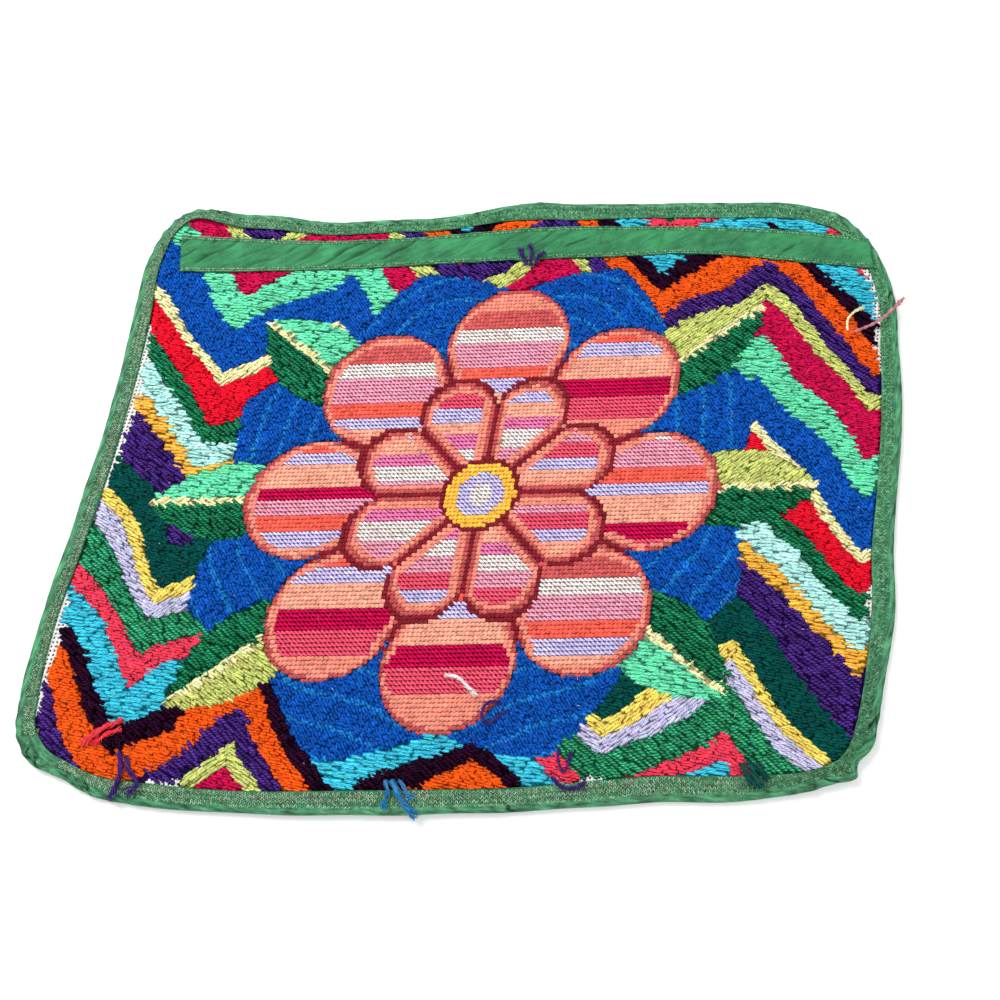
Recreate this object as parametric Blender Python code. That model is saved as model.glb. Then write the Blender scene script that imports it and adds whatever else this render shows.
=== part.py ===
"""A needlepoint canvas panel that lies flat with its wrong side up.

One worked canvas, a cotton tape folded over its raw edge, a cotton strip sewn along its top,
and the loose ends of yarn that show on this side. Lengths in the tables are millimetres and
the objects are in metres, +Z up, with X along the rows of stitches. The origin is on the
floor under the middle of the whole piece.
"""

import math
from typing import NamedTuple

import bmesh
import bpy
import numpy as np
from mathutils import Matrix, Vector

MM = 0.001

# Thicknesses and clearances, in millimetres
CLEARANCE = 0.3  # between pieces that touch
TAPE_THICKNESS = 0.9
RIM_THICKNESS = 1.8  # the canvas where the tape holds it
RIM_UNDERSIDE = TAPE_THICKNESS + CLEARANCE
PANEL_TOP = RIM_UNDERSIDE + RIM_THICKNESS
TAPE_TOP = PANEL_TOP + CLEARANCE + 1.15  # at the puffed fold, the tape's highest line
STRIP_THICKNESS = 0.9
STRIP_CLEARANCE = 0.45  # the strip spans the canvas's small hollows

# How the canvas is laid out
RIM_SHARE = 0.42  # the canvas ends at this share of the tape's width
GRID_LONG, GRID_SHORT = 36, 28  # cells along X and Y
CORE_HALF_LENGTH = 66.0  # the line in the middle that the rings of cells close on
RIM_RINGS = (0.0, 5.0, 9.5)  # the first rings, measured in from the rim
RAMP_START, RAMP_END = 9.0, 14.0  # from the outer edge, where the underside comes to the floor
RELIEF_START, RELIEF_END = 15.0, 32.0  # from the outer edge, where the unevenness fades in
MEDALLION = (8.0, -12.0, 135.0, 150.0)  # middle and half sizes of the finely worked field
MEDALLION_DROP = 0.55  # fine stitches lie lower than the long ones around them
WAVE_HEIGHT = 0.35
WAVE_LENGTH = 118.0

# How the tape is laid out
LONG_STEP, GATHERED_STEP = 17.0, 5.5
GATHER_HEIGHT = 0.42
GATHER_LENGTH = 11.0


class EdgePoint(NamedTuple):
    """One place on the tape: its outer fold, its sewn inner edge, and how gathered it is."""

    outer_x: float
    outer_y: float
    inner_x: float
    inner_y: float
    gather: float = 0.0
    corner: bool = False


EDGE = (
    EdgePoint(-266.8, -132.0, -254.0, -131.0, 0.3),
    EdgePoint(-265.0, -152.0, -252.5, -148.0, 1.0),
    EdgePoint(-256.0, -165.5, -245.0, -158.5, 1.0, True),
    EdgePoint(-234.0, -177.5, -230.0, -168.0, 1.0),
    EdgePoint(-216.0, -185.8, -214.0, -174.5, 0.9),
    EdgePoint(-194.0, -189.8, -194.0, -177.8, 0.4),
    EdgePoint(-150.0, -193.8, -150.0, -182.0),
    EdgePoint(-60.0, -197.0, -60.0, -183.5),
    EdgePoint(20.0, -195.6, 20.0, -183.0),
    EdgePoint(90.0, -192.6, 90.0, -180.0),
    EdgePoint(150.0, -190.8, 150.0, -178.5, 0.2),
    EdgePoint(175.0, -187.3, 174.0, -177.0, 0.8),
    EdgePoint(198.5, -182.6, 188.0, -173.8, 1.0),
    EdgePoint(201.5, -179.0, 191.5, -171.5, 1.0),
    EdgePoint(203.0, -174.6, 195.0, -168.4, 1.0, True),
    EdgePoint(210.5, -167.5, 199.5, -162.0, 1.0),
    EdgePoint(216.0, -154.5, 204.0, -152.0, 0.8),
    EdgePoint(222.5, -134.5, 210.5, -133.5, 0.3),
    EdgePoint(234.5, -93.0, 220.0, -92.0),
    EdgePoint(239.5, -55.0, 227.0, -52.0),
    EdgePoint(245.5, -25.0, 233.0, -24.0),
    EdgePoint(257.0, 28.0, 244.0, 28.0),
    EdgePoint(262.6, 72.0, 250.0, 72.0),
    EdgePoint(265.2, 108.0, 253.5, 108.0, 0.1),
    EdgePoint(263.6, 128.0, 252.5, 127.0, 0.3),
    EdgePoint(258.2, 147.5, 246.8, 144.0, 0.4),
    EdgePoint(250.0, 163.0, 240.5, 155.0, 0.6, True),
    EdgePoint(239.0, 175.0, 232.0, 163.0, 0.6),
    EdgePoint(222.0, 182.2, 218.0, 169.4, 0.3),
    EdgePoint(160.0, 187.6, 160.0, 175.6),
    EdgePoint(62.0, 191.2, 62.0, 179.0),
    EdgePoint(41.0, 194.8, 42.0, 180.5, 0.3),
    EdgePoint(20.0, 192.0, 22.0, 179.5, 0.2),
    EdgePoint(-30.0, 184.6, -30.0, 174.8),
    EdgePoint(-100.0, 183.8, -100.0, 173.5),
    EdgePoint(-140.0, 191.4, -138.0, 180.0, 0.2),
    EdgePoint(-164.0, 194.0, -161.0, 182.6, 0.5),
    EdgePoint(-181.0, 198.0, -177.0, 186.5, 1.0),
    EdgePoint(-195.0, 198.0, -188.5, 188.8, 1.0),
    EdgePoint(-209.0, 190.8, -199.5, 186.2, 1.0, True),
    EdgePoint(-217.5, 178.0, -207.5, 176.0, 0.9),
    EdgePoint(-224.8, 156.0, -213.5, 155.0, 0.3),
    EdgePoint(-230.5, 108.0, -217.5, 108.0),
    EdgePoint(-237.2, 48.0, -224.0, 48.0),
    EdgePoint(-250.9, -32.0, -238.5, -32.0),
    EdgePoint(-262.6, -94.0, -251.0, -94.0),
)


class TapePoint(NamedTuple):
    """A corner of the tape's section: inward from the fold, plus a share of its width."""

    inward: float
    width_share: float
    height: float
    puffs: float = 0.0


TAPE_SECTION = (
    TapePoint(1.4, 0.0, 0.0),
    TapePoint(8.0, 0.0, 0.0),
    TapePoint(8.0, 0.0, TAPE_THICKNESS),
    TapePoint(2.8, 0.0, TAPE_THICKNESS),
    TapePoint(1.7, 0.0, 2.1),
    TapePoint(2.9, 0.0, PANEL_TOP + CLEARANCE),
    TapePoint(-0.2, 1.0, PANEL_TOP + CLEARANCE),
    TapePoint(-0.6, 1.0, PANEL_TOP + CLEARANCE + 0.75),
    TapePoint(5.8, 0.0, PANEL_TOP + CLEARANCE + 0.8, 0.2),
    TapePoint(4.0, 0.0, TAPE_TOP, 1.0),
    TapePoint(1.2, 0.0, 3.8, 1.0),
    TapePoint(0.0, 0.0, 1.9, 0.4),
)


class Lift(NamedTuple):
    """A place where the edge stands a little off the floor."""

    x: float
    y: float
    height: float
    reach: float


LIFTS = (
    Lift(-202.0, 190.0, 3.0, 34.0),
    Lift(204.0, -174.0, 2.4, 26.0),
    Lift(258.0, 150.0, 1.8, 38.0),
    Lift(-258.0, -158.0, 1.6, 30.0),
    Lift(40.0, 196.0, 2.0, 36.0),
    Lift(-60.0, -204.0, 1.2, 50.0),
    Lift(-250.0, 0.0, 1.0, 44.0),
)


class StripRow(NamedTuple):
    """The two long edges of the top strip at one place along it."""

    x: float
    lower_y: float
    upper_y: float


STRIP_EDGES = (
    StripRow(-203.0, 149.5, 176.2),
    StripRow(-160.0, 148.0, 173.4),
    StripRow(-110.0, 147.5, 169.6),
    StripRow(-60.0, 147.6, 169.0),
    StripRow(-10.0, 148.8, 170.8),
    StripRow(40.0, 149.6, 172.8),
    StripRow(90.0, 149.4, 172.2),
    StripRow(140.0, 149.6, 170.0),
    StripRow(180.0, 145.0, 167.0),
    StripRow(220.0, 138.6, 161.8),
    StripRow(252.0, 132.6, 153.6),
)
STRIP_CELLS_LONG, STRIP_CELLS_ACROSS = 80, 5
STRIP_RAMP = 4.2  # the strip climbs onto the tape over this distance
PUCKER_HEIGHT = 0.55
PUCKER_LENGTH = 29.0
PUCKER_LEAN = 1.15  # millimetres along X for each millimetre up the strip


class YarnPoint(NamedTuple):
    """A place that a loose end passes, and how far it stands off what lies under it."""

    x: float
    y: float
    rise: float


class YarnEnd(NamedTuple):
    """One loose end of yarn or thread, from its root in the canvas to its tip."""

    name: str
    colour: str
    radius: float
    sides: int
    points: tuple


def yarn(name, colour, radius, sides, *points):
    """A loose end from rows of x, y and rise."""
    return YarnEnd(name, colour, radius, sides, tuple(YarnPoint(*row) for row in points))


YARN_ENDS = (
    yarn("violet_corner_1", "violet", 1.0, 4,
         (-205.0, -161.0, 0.0), (-202.6, -170.0, 1.6), (-203.4, -179.0, 0.6), (-207.0, -187.6, 0.2)),
    yarn("violet_corner_2", "violet", 1.0, 4,
         (-201.0, -164.0, 0.0), (-197.5, -172.0, 1.2), (-192.4, -179.4, 0.5), (-197.5, -185.6, 0.3)),
    yarn("scarlet_corner_1", "scarlet", 1.1, 4,
         (-205.0, -144.0, 0.0), (-212.0, -147.0, 1.8), (-220.0, -152.0, 1.2), (-227.0, -157.6, 0.3)),
    yarn("scarlet_corner_2", "scarlet", 0.9, 4,
         (-205.0, -149.0, 0.0), (-211.0, -151.0, 0.9), (-217.0, -154.6, 0.4), (-221.0, -158.0, 0.2)),
    yarn("azure_front_1", "azure", 1.2, 4,
         (-50.5, -179.0, 0.0), (-47.0, -186.0, 0.8), (-42.0, -192.5, 0.7), (-36.5, -199.2, 0.5)),
    yarn("azure_front_2", "azure", 0.8, 4,
         (-54.0, -179.0, 0.0), (-52.6, -185.0, 0.6), (-53.8, -190.0, 0.3), (-54.6, -194.6, 0.2)),
    yarn("azure_front_3", "azure", 0.7, 4,
         (-46.5, -179.0, 0.0), (-42.6, -184.6, 0.5), (-38.6, -189.4, 0.2)),
    yarn("violet_loop", "violet", 0.6, 4,
         (12.5, -142.5, 0.0), (6.5, -147.0, 1.4), (1.6, -149.6, 2.2), (-0.8, -145.0, 2.8),
         (0.6, -139.8, 2.6), (5.2, -137.2, 1.6), (10.4, -138.4, 0.2)),
    yarn("cream_thread", "cream", 0.7, 4,
         (-22.0, -122.4, 0.0), (-15.5, -123.2, 1.0), (-10.0, -127.8, 1.2), (-3.8, -134.6, 0.2)),
    yarn("pink_side", "pink", 0.7, 4,
         (236.0, 88.0, 0.0), (247.0, 91.5, 1.2), (256.0, 96.5, 1.6), (264.0, 103.6, 2.2),
         (271.5, 110.8, 3.4)),
    yarn("cream_side", "cream", 0.5, 4,
         (233.0, 89.0, 0.0), (233.6, 96.0, 1.6), (238.0, 101.2, 1.8), (245.5, 105.0, 1.0)),
    yarn("teal_front_1", "teal", 1.2, 4,
         (140.5, -173.0, 0.0), (142.5, -179.0, 0.8), (144.8, -184.6, 0.2)),
    yarn("teal_front_2", "teal", 1.2, 4,
         (144.6, -172.0, 0.0), (146.8, -179.6, 1.0), (149.6, -186.2, 0.2)),
    yarn("teal_front_3", "teal", 1.0, 4,
         (148.6, -173.0, 0.0), (151.0, -178.4, 0.6), (153.2, -182.6, 0.2)),
    yarn("violet_top_1", "violet", 0.9, 4,
         (31.0, 145.6, 0.0), (28.4, 151.6, 0.6), (26.6, 157.6, 0.2)),
    yarn("violet_top_2", "violet", 0.9, 4,
         (33.8, 145.0, 0.0), (34.2, 153.0, 0.9), (33.4, 160.4, 0.2)),
    yarn("violet_top_3", "violet", 0.9, 4,
         (36.8, 145.6, 0.0), (39.8, 151.6, 0.6), (43.4, 154.4, 0.2)),
    yarn("violet_front_loop", "violet", 0.5, 4,
         (41.4, -163.0, 0.0), (40.8, -170.0, 1.2), (43.6, -176.0, 1.6), (46.6, -171.0, 1.2),
         (48.2, -164.4, 0.0)),
    yarn("violet_front_edge", "violet", 0.7, 4,
         (37.0, -178.6, 0.0), (42.0, -183.6, 0.4), (49.0, -184.8, 0.3), (55.4, -180.6, 0.0)),
)
YARN_STEPS = 3  # pieces of a loose end between two of its points
YARN_TIP = 0.45  # share of the radius that is left at the tip

COLOURS = {
    "worked canvas": (0.42, 0.09, 0.13, 1.0),
    "green cotton": (0.048, 0.342, 0.120, 1.0),
    "violet": (0.048, 0.020, 0.140, 1.0),
    "scarlet": (0.756, 0.004, 0.027, 1.0),
    "azure": (0.010, 0.180, 0.480, 1.0),
    "cream": (0.850, 0.740, 0.600, 1.0),
    "pink": (0.520, 0.180, 0.220, 1.0),
    "teal": (0.004, 0.050, 0.060, 1.0),
}
ROUGHNESS = 0.9


# ---- curves ----


def smoothstep(value):
    """Ease from 0 to 1 as the value goes from 0 to 1."""
    held = np.clip(value, 0.0, 1.0)
    return held * held * (3.0 - 2.0 * held)


class SmoothPath:
    """A smooth curve through rows of numbers, spaced by the distance between their places."""

    def __init__(self, rows, closed):
        self.rows = np.array(rows, float)
        self.closed = closed
        places = self.rows[:, :2]
        ahead = np.roll(places, -1, axis=0) if closed else places[1:]
        self.spans = np.linalg.norm(ahead - places[: len(ahead)], axis=1)
        self.knots = np.concatenate(([0.0], np.cumsum(self.spans)))
        self.length = self.knots[-1]
        self.slopes = self._slopes()

    def _slopes(self):
        """The rate of change at each row, weighted by the spans on its two sides."""
        rows, spans = self.rows, self.spans
        if self.closed:
            ahead = (np.roll(rows, -1, axis=0) - rows) / spans[:, None]
            behind = np.roll(ahead, 1, axis=0)
            after, before = spans[:, None], np.roll(spans, 1)[:, None]
            return (ahead * before + behind * after) / (before + after)
        step = (rows[1:] - rows[:-1]) / spans[:, None]
        inner = (step[1:] * spans[:-1, None] + step[:-1] * spans[1:, None])
        inner = inner / (spans[:-1] + spans[1:])[:, None]
        return np.concatenate((step[:1], inner, step[-1:]))

    def at(self, distance):
        """The curve's rows at the given distances along it."""
        distance = np.atleast_1d(np.asarray(distance, float))
        if self.closed:
            distance = np.mod(distance, self.length)
        span = np.clip(np.searchsorted(self.knots, distance, side="right") - 1, 0, len(self.spans) - 1)
        width = self.spans[span][:, None]
        share = (distance - self.knots[span])[:, None] / width
        following = (span + 1) % len(self.rows)
        start, end = self.rows[span], self.rows[following]
        leave, arrive = self.slopes[span] * width, self.slopes[following] * width
        square, cube = share**2, share**3
        return (
            (2 * cube - 3 * square + 1) * start
            + (cube - 2 * square + share) * leave
            + (3 * square - 2 * cube) * end
            + (cube - square) * arrive
        )


EDGE_PATH = SmoothPath([point[:5] for point in EDGE], closed=True)
STRIP_PATH = SmoothPath([(row.x, 0.0, row.lower_y, row.upper_y) for row in STRIP_EDGES], closed=False)
EDGE_SAMPLES = EDGE_PATH.at(np.arange(0.0, EDGE_PATH.length, 2.0))


def place_at_edge(x, y):
    """How far a place lies inside the tape's outer fold, and the tape's width there."""
    outer = EDGE_SAMPLES[:, 0:2]
    gaps = np.hypot(outer[:, 0] - x, outer[:, 1] - y)
    nearest = int(np.argmin(gaps))
    tape = EDGE_SAMPLES[nearest, 2:4] - outer[nearest]
    width = float(np.hypot(*tape))
    inward = tape / width
    depth = float(gaps[nearest])
    is_inside = np.dot((x, y) - outer[nearest], inward) >= 0.0
    return (depth if is_inside else -depth), width


# ---- heights, in millimetres ----


def lift_at(x, y):
    """How far the edge stands off the floor."""
    return sum(
        lift.height * math.exp(-((x - lift.x) ** 2 + (y - lift.y) ** 2) / (2.0 * lift.reach**2))
        for lift in LIFTS
    )


def faded_lift(x, y, depth):
    """The lift near the edge, gone where the canvas lies on the floor."""
    return lift_at(x, y) * float(1.0 - smoothstep((depth - 12.0) / 48.0))


def relief_at(x, y, depth):
    """The soft unevenness of the worked canvas."""
    middle_x, middle_y, half_x, half_y = MEDALLION
    from_middle = math.hypot((x - middle_x) / half_x, (y - middle_y) / half_y)
    fine = float(1.0 - smoothstep((from_middle - 0.85) / 0.3))
    wave = math.sin(2.0 * math.pi * (x + 0.4 * y) / WAVE_LENGTH)
    wave *= math.cos(2.0 * math.pi * (y - 0.3 * x) / (1.3 * WAVE_LENGTH))
    fade = float(smoothstep((depth - RELIEF_START) / (RELIEF_END - RELIEF_START)))
    return fade * (WAVE_HEIGHT * wave - MEDALLION_DROP * fine)


def canvas_top(x, y):
    """The height of the canvas's upper face."""
    depth, _ = place_at_edge(x, y)
    return PANEL_TOP + faded_lift(x, y, depth) + relief_at(x, y, depth)


def canvas_underside(x, y):
    """The height of the canvas's lower face, which lies on the floor inside the tape."""
    depth, _ = place_at_edge(x, y)
    ramp = float(1.0 - smoothstep((depth - RAMP_START) / (RAMP_END - RAMP_START)))
    return faded_lift(x, y, depth) + RIM_UNDERSIDE * ramp


def strip_underside(x, y):
    """The height of the top strip's lower face, on the canvas and over the tape's corner."""
    depth, width = place_at_edge(x, y)
    on_tape = float(1.0 - smoothstep((depth - width - CLEARANCE) / STRIP_RAMP))
    over_tape = TAPE_TOP - PANEL_TOP + 0.35
    return canvas_top(x, y) + STRIP_CLEARANCE + over_tape * on_tape


def strip_pucker(x, across):
    """The slanting puckers of the top strip, none at its sewn edges."""
    sewn = math.sin(math.pi * across) ** 0.7 if 0.0 < across < 1.0 else 0.0
    slant = x - PUCKER_LEAN * 24.0 * across
    ridge = math.sin(2.0 * math.pi * slant / PUCKER_LENGTH + 1.3 * math.sin(slant / 41.0))
    return PUCKER_HEIGHT * sewn * (0.55 + 0.45 * ridge)


def strip_share(x, y):
    """How far up the top strip a place lies, from 0 to 1, or None away from it."""
    if not STRIP_EDGES[0].x <= x <= STRIP_EDGES[-1].x:
        return None
    _, _, lower, upper = STRIP_PATH.at(x - STRIP_EDGES[0].x)[0]
    share = (y - lower) / (upper - lower)
    return share if -0.08 <= share <= 1.08 else None


def ground_at(x, y):
    """The highest face under a loose end of yarn."""
    depth, width = place_at_edge(x, y)
    if depth < 0.0:
        return TAPE_TOP * max(0.0, 1.0 + depth / 9.0)
    height = canvas_top(x, y)
    if depth < width + 1.2:
        height = faded_lift(x, y, depth) + TAPE_TOP + GATHER_HEIGHT
    share = strip_share(x, y)
    if share is not None:
        height = strip_underside(x, y) + STRIP_THICKNESS + PUCKER_HEIGHT
    return height


# ---- meshes ----


def finish_object(name, mesh_builder, colour):
    """Turn a bmesh in millimetres into a smooth object in metres with its material."""
    bmesh.ops.transform(mesh_builder, matrix=Matrix.Scale(MM, 4), verts=mesh_builder.verts)
    bmesh.ops.recalc_face_normals(mesh_builder, faces=mesh_builder.faces)
    mesh = bpy.data.meshes.new(name)
    mesh_builder.to_mesh(mesh)
    mesh_builder.free()
    mesh.shade_smooth()
    mesh.set_sharp_from_angle(angle=math.radians(40.0))
    mesh.materials.append(material_for(colour))
    piece = bpy.data.objects.new(name, mesh)
    bpy.context.scene.collection.objects.link(piece)
    return piece


def material_for(colour):
    """The plain cloth or yarn material of one colour, made once."""
    found = bpy.data.materials.get(colour)
    if found:
        return found
    material = bpy.data.materials.new(colour)
    material.use_nodes = True
    shader = material.node_tree.nodes["Principled BSDF"]
    shader.inputs["Base Color"].default_value = COLOURS[colour]
    shader.inputs["Roughness"].default_value = ROUGHNESS
    shader.inputs["Metallic"].default_value = 0.0
    return material


def thicken(mesh_builder, heights):
    """Close a flat sheet into a solid: heights gives the lower and upper face at each place."""
    sheet = list(mesh_builder.faces)
    copied = bmesh.ops.extrude_face_region(mesh_builder, geom=sheet, use_keep_orig=True)
    upper = {item for item in copied["geom"] if isinstance(item, bmesh.types.BMVert)}
    for vert in mesh_builder.verts:
        underside, top = heights[tuple(vert.co)]
        vert.co.z = top if vert in upper else underside


def ring_share(ring, rings, reach):
    """The share of the way from the rim to the core at which a ring of cells lies."""
    if ring < len(RIM_RINGS):
        return RIM_RINGS[ring] / reach
    start = RIM_RINGS[-1] / reach
    return start + (1.0 - start) * (ring - len(RIM_RINGS) + 1) / (rings - len(RIM_RINGS) + 1)


def rim_sides():
    """Where the rim's four sides start and how long they are, as distances along the edge."""
    starts = [EDGE_PATH.knots[i] for i, point in enumerate(EDGE) if point.corner]
    ends = starts[1:] + [starts[0] + EDGE_PATH.length]
    return [(start, end - start) for start, end in zip(starts, ends)]


def rim_place(side, share):
    """The canvas's rim at a share of one side, under the tape."""
    start, length = side
    row = EDGE_PATH.at(start + share * length)[0]
    return row[0:2] + (row[2:4] - row[0:2]) * RIM_SHARE


def grid_place(column, row):
    """Where a corner of the canvas's grid lies, ring by ring from the rim to the core."""
    front, right, back, left = rim_sides()
    rings = GRID_SHORT // 2
    ring = min(column, GRID_LONG - column, row, GRID_SHORT - row)
    along = (column - ring) / (GRID_LONG - 2 * ring)
    up = (row - ring) / (GRID_SHORT - 2 * ring) if ring < rings else 0.5
    core = np.array(((2.0 * along - 1.0) * CORE_HALF_LENGTH, 0.0))
    if row == ring:
        rim = rim_place(front, along)
    elif row == GRID_SHORT - ring:
        rim = rim_place(back, 1.0 - along)
    elif column == ring:
        rim = rim_place(left, 1.0 - up)
    else:
        rim = rim_place(right, up)
    reach = float(np.hypot(*(core - rim)))
    return rim + (core - rim) * ring_share(ring, rings, reach)


def build_canvas():
    """The worked canvas: one sheet with a flat underside and a softly uneven top."""
    sheet = bmesh.new()
    bmesh.ops.create_grid(sheet, x_segments=GRID_LONG, y_segments=GRID_SHORT, size=1.0)
    heights = {}
    for vert in sheet.verts:
        column = round((vert.co.x + 1.0) / 2.0 * GRID_LONG)
        row = round((vert.co.y + 1.0) / 2.0 * GRID_SHORT)
        x, y = grid_place(column, row)
        vert.co = Vector((x, y, 0.0))
        heights[tuple(vert.co)] = (canvas_underside(x, y), canvas_top(x, y))
    thicken(sheet, heights)
    return finish_object("canvas_panel", sheet, "worked canvas")


def tape_stops():
    """Distances along the edge at which the tape has a section, closer where it is gathered."""
    stops = []
    for index, point in enumerate(EDGE):
        following = EDGE[(index + 1) % len(EDGE)]
        gathered = max(point.gather, following.gather) > 0.5
        step = GATHERED_STEP if gathered else LONG_STEP
        span = EDGE_PATH.spans[index]
        pieces = max(1, math.ceil(span / step))
        stops += [EDGE_PATH.knots[index] + span * piece / pieces for piece in range(pieces)]
    return stops


def tape_section(stop):
    """The tape's section at one distance along the edge, as places in space."""
    outer_x, outer_y, inner_x, inner_y, gather = EDGE_PATH.at(stop)[0]
    outer = np.array((outer_x, outer_y))
    across = np.array((inner_x, inner_y)) - outer
    width = float(np.hypot(*across))
    ridge = math.sin(2.0 * math.pi * stop / GATHER_LENGTH + 2.0 * math.sin(stop / 23.0))
    section = []
    for corner in TAPE_SECTION:
        inward = corner.inward + corner.width_share * width
        puff = GATHER_HEIGHT * gather * ridge * corner.puffs
        x, y = outer + across * (inward - 0.6 * puff) / width
        lift = faded_lift(x, y, place_at_edge(x, y)[0])
        section.append(Vector((x, y, corner.height + lift + puff)))
    return section


def build_tape():
    """The cotton tape folded over the canvas's edge, one closed ring."""
    tape = bmesh.new()
    sections = [[tape.verts.new(place) for place in tape_section(stop)] for stop in tape_stops()]
    for here, there in zip(sections, sections[1:] + sections[:1]):
        for corner in range(len(here)):
            following = (corner + 1) % len(here)
            tape.faces.new((here[corner], there[corner], there[following], here[following]))
    return finish_object("edge_binding", tape, "green cotton")


def build_strip():
    """The cotton strip sewn flat along the top, with slanting puckers."""
    strip = bmesh.new()
    bmesh.ops.create_grid(strip, x_segments=STRIP_CELLS_LONG, y_segments=STRIP_CELLS_ACROSS, size=1.0)
    first, last = STRIP_EDGES[0].x, STRIP_EDGES[-1].x
    heights = {}
    for vert in strip.verts:
        x = first + (vert.co.x + 1.0) / 2.0 * (last - first)
        across = round((vert.co.y + 1.0) / 2.0, 6)
        _, _, lower, upper = STRIP_PATH.at(x - first)[0]
        y = lower + across * (upper - lower)
        vert.co = Vector((x, y, 0.0))
        underside = strip_underside(x, y)
        heights[tuple(vert.co)] = (underside, underside + STRIP_THICKNESS + strip_pucker(x, across))
    thicken(strip, heights)
    return finish_object("top_strip", strip, "green cotton")


def yarn_centres(end):
    """The middle line of a loose end, lying on or standing off what is under it."""
    path = SmoothPath([(point.x, point.y, point.rise) for point in end.points], closed=False)
    pieces = YARN_STEPS * (len(end.points) - 1)
    centres = []
    for x, y, rise in path.at(np.linspace(0.0, path.length, pieces + 1)):
        height = ground_at(x, y) + CLEARANCE + end.radius + max(rise, 0.0)
        centres.append(Vector((x, y, height)))
    return centres


def build_yarn_end(end):
    """A loose end: a few-sided strand that thins towards its tip."""
    centres = yarn_centres(end)
    strand = bmesh.new()
    rings = []
    for index, centre in enumerate(centres):
        ahead = centres[min(index + 1, len(centres) - 1)] - centres[max(index - 1, 0)]
        side = ahead.cross(Vector((0.0, 0.0, 1.0))).normalized()
        rise = side.cross(ahead).normalized()
        share = index / (len(centres) - 1)
        radius = end.radius * (1.0 - (1.0 - YARN_TIP) * share**2)
        turns = [2.0 * math.pi * corner / end.sides for corner in range(end.sides)]
        rings.append([
            strand.verts.new(centre + radius * (math.cos(turn) * side + math.sin(turn) * rise))
            for turn in turns
        ])
    for here, there in zip(rings, rings[1:]):
        for corner in range(end.sides):
            following = (corner + 1) % end.sides
            strand.faces.new((here[corner], here[following], there[following], there[corner]))
    strand.faces.new(rings[0])
    strand.faces.new(rings[-1])
    return finish_object(f"yarn_end_{end.name}", strand, end.colour)


def centre_over_origin(pieces):
    """Move every piece so that the origin is on the floor under the middle of them all."""
    places = np.array([tuple(vert.co) for piece in pieces for vert in piece.data.vertices])
    low, high = places.min(axis=0), places.max(axis=0)
    shift = Matrix.Translation((-(low[0] + high[0]) / 2.0, -(low[1] + high[1]) / 2.0, -low[2]))
    for piece in pieces:
        piece.data.transform(shift)


def main():
    """Build the panel, its tape, its strip and its loose ends."""
    for found in list(bpy.data.objects):
        bpy.data.objects.remove(found, do_unlink=True)
    pieces = [build_canvas(), build_tape(), build_strip()]
    pieces += [build_yarn_end(end) for end in YARN_ENDS]
    centre_over_origin(pieces)


main()
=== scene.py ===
"""The looks of a hand-stitched needlepoint canvas panel, lying flat with its wrong side up.

The worked canvas, the loose wool on its wrong side, the cotton tape round its edge, the
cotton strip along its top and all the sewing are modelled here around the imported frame.
Tables hold millimetres in the plane in which the panel was cut; objects are in metres.
"""

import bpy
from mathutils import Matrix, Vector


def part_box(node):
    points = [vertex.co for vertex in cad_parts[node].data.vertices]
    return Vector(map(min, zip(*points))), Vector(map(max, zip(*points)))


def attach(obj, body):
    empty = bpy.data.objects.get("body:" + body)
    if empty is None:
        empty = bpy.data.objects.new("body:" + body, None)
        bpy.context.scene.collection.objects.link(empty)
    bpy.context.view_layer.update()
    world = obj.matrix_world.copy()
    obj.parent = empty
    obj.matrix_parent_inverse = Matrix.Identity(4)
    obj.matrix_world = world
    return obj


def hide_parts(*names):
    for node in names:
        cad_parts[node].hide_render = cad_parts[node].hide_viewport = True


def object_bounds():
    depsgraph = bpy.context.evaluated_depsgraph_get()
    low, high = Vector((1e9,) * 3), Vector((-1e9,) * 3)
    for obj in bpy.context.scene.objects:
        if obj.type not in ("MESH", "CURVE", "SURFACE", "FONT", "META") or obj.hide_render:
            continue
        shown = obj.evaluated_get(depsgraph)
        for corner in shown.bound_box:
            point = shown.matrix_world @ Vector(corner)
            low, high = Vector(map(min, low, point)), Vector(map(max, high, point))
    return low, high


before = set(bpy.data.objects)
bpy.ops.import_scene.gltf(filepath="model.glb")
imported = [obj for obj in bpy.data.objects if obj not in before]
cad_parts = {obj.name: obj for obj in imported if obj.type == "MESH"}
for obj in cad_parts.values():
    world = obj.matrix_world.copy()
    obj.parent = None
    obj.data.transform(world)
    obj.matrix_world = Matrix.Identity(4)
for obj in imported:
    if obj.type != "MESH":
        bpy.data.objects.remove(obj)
CAD_BOX = [[float(value) for value in corner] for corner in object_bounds()]

import logging
import math
from dataclasses import dataclass
from enum import Enum
from typing import NamedTuple, Sequence

import bmesh
import bpy
import numpy as np
from mathutils import Matrix, Vector
from mathutils.bvhtree import BVHTree

logging.basicConfig(level=logging.INFO, format="%(message)s")
LOG = logging.getLogger("needlepoint")

MM = 0.001
SEED = 20
TURN = 2.0 * math.pi
EYE = (30.0, -192.0, 514.0)  # the camera's place over the plane in which the panel was cut
Array = np.ndarray
Form, Vertices = bmesh.types.BMesh, Sequence[bmesh.types.BMVert]
Mesh, Piece, Material = bpy.types.Mesh, bpy.types.Object, bpy.types.Material
Socket = bpy.types.NodeSocket


# ---- measures in the plane in which the panel was cut ----


class EdgePoint(NamedTuple):
    """One place on the tape: its outer fold, its sewn inner edge, and how gathered it is."""

    outer_x: float
    outer_y: float
    inner_x: float
    inner_y: float
    gather: float = 0.0


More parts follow.
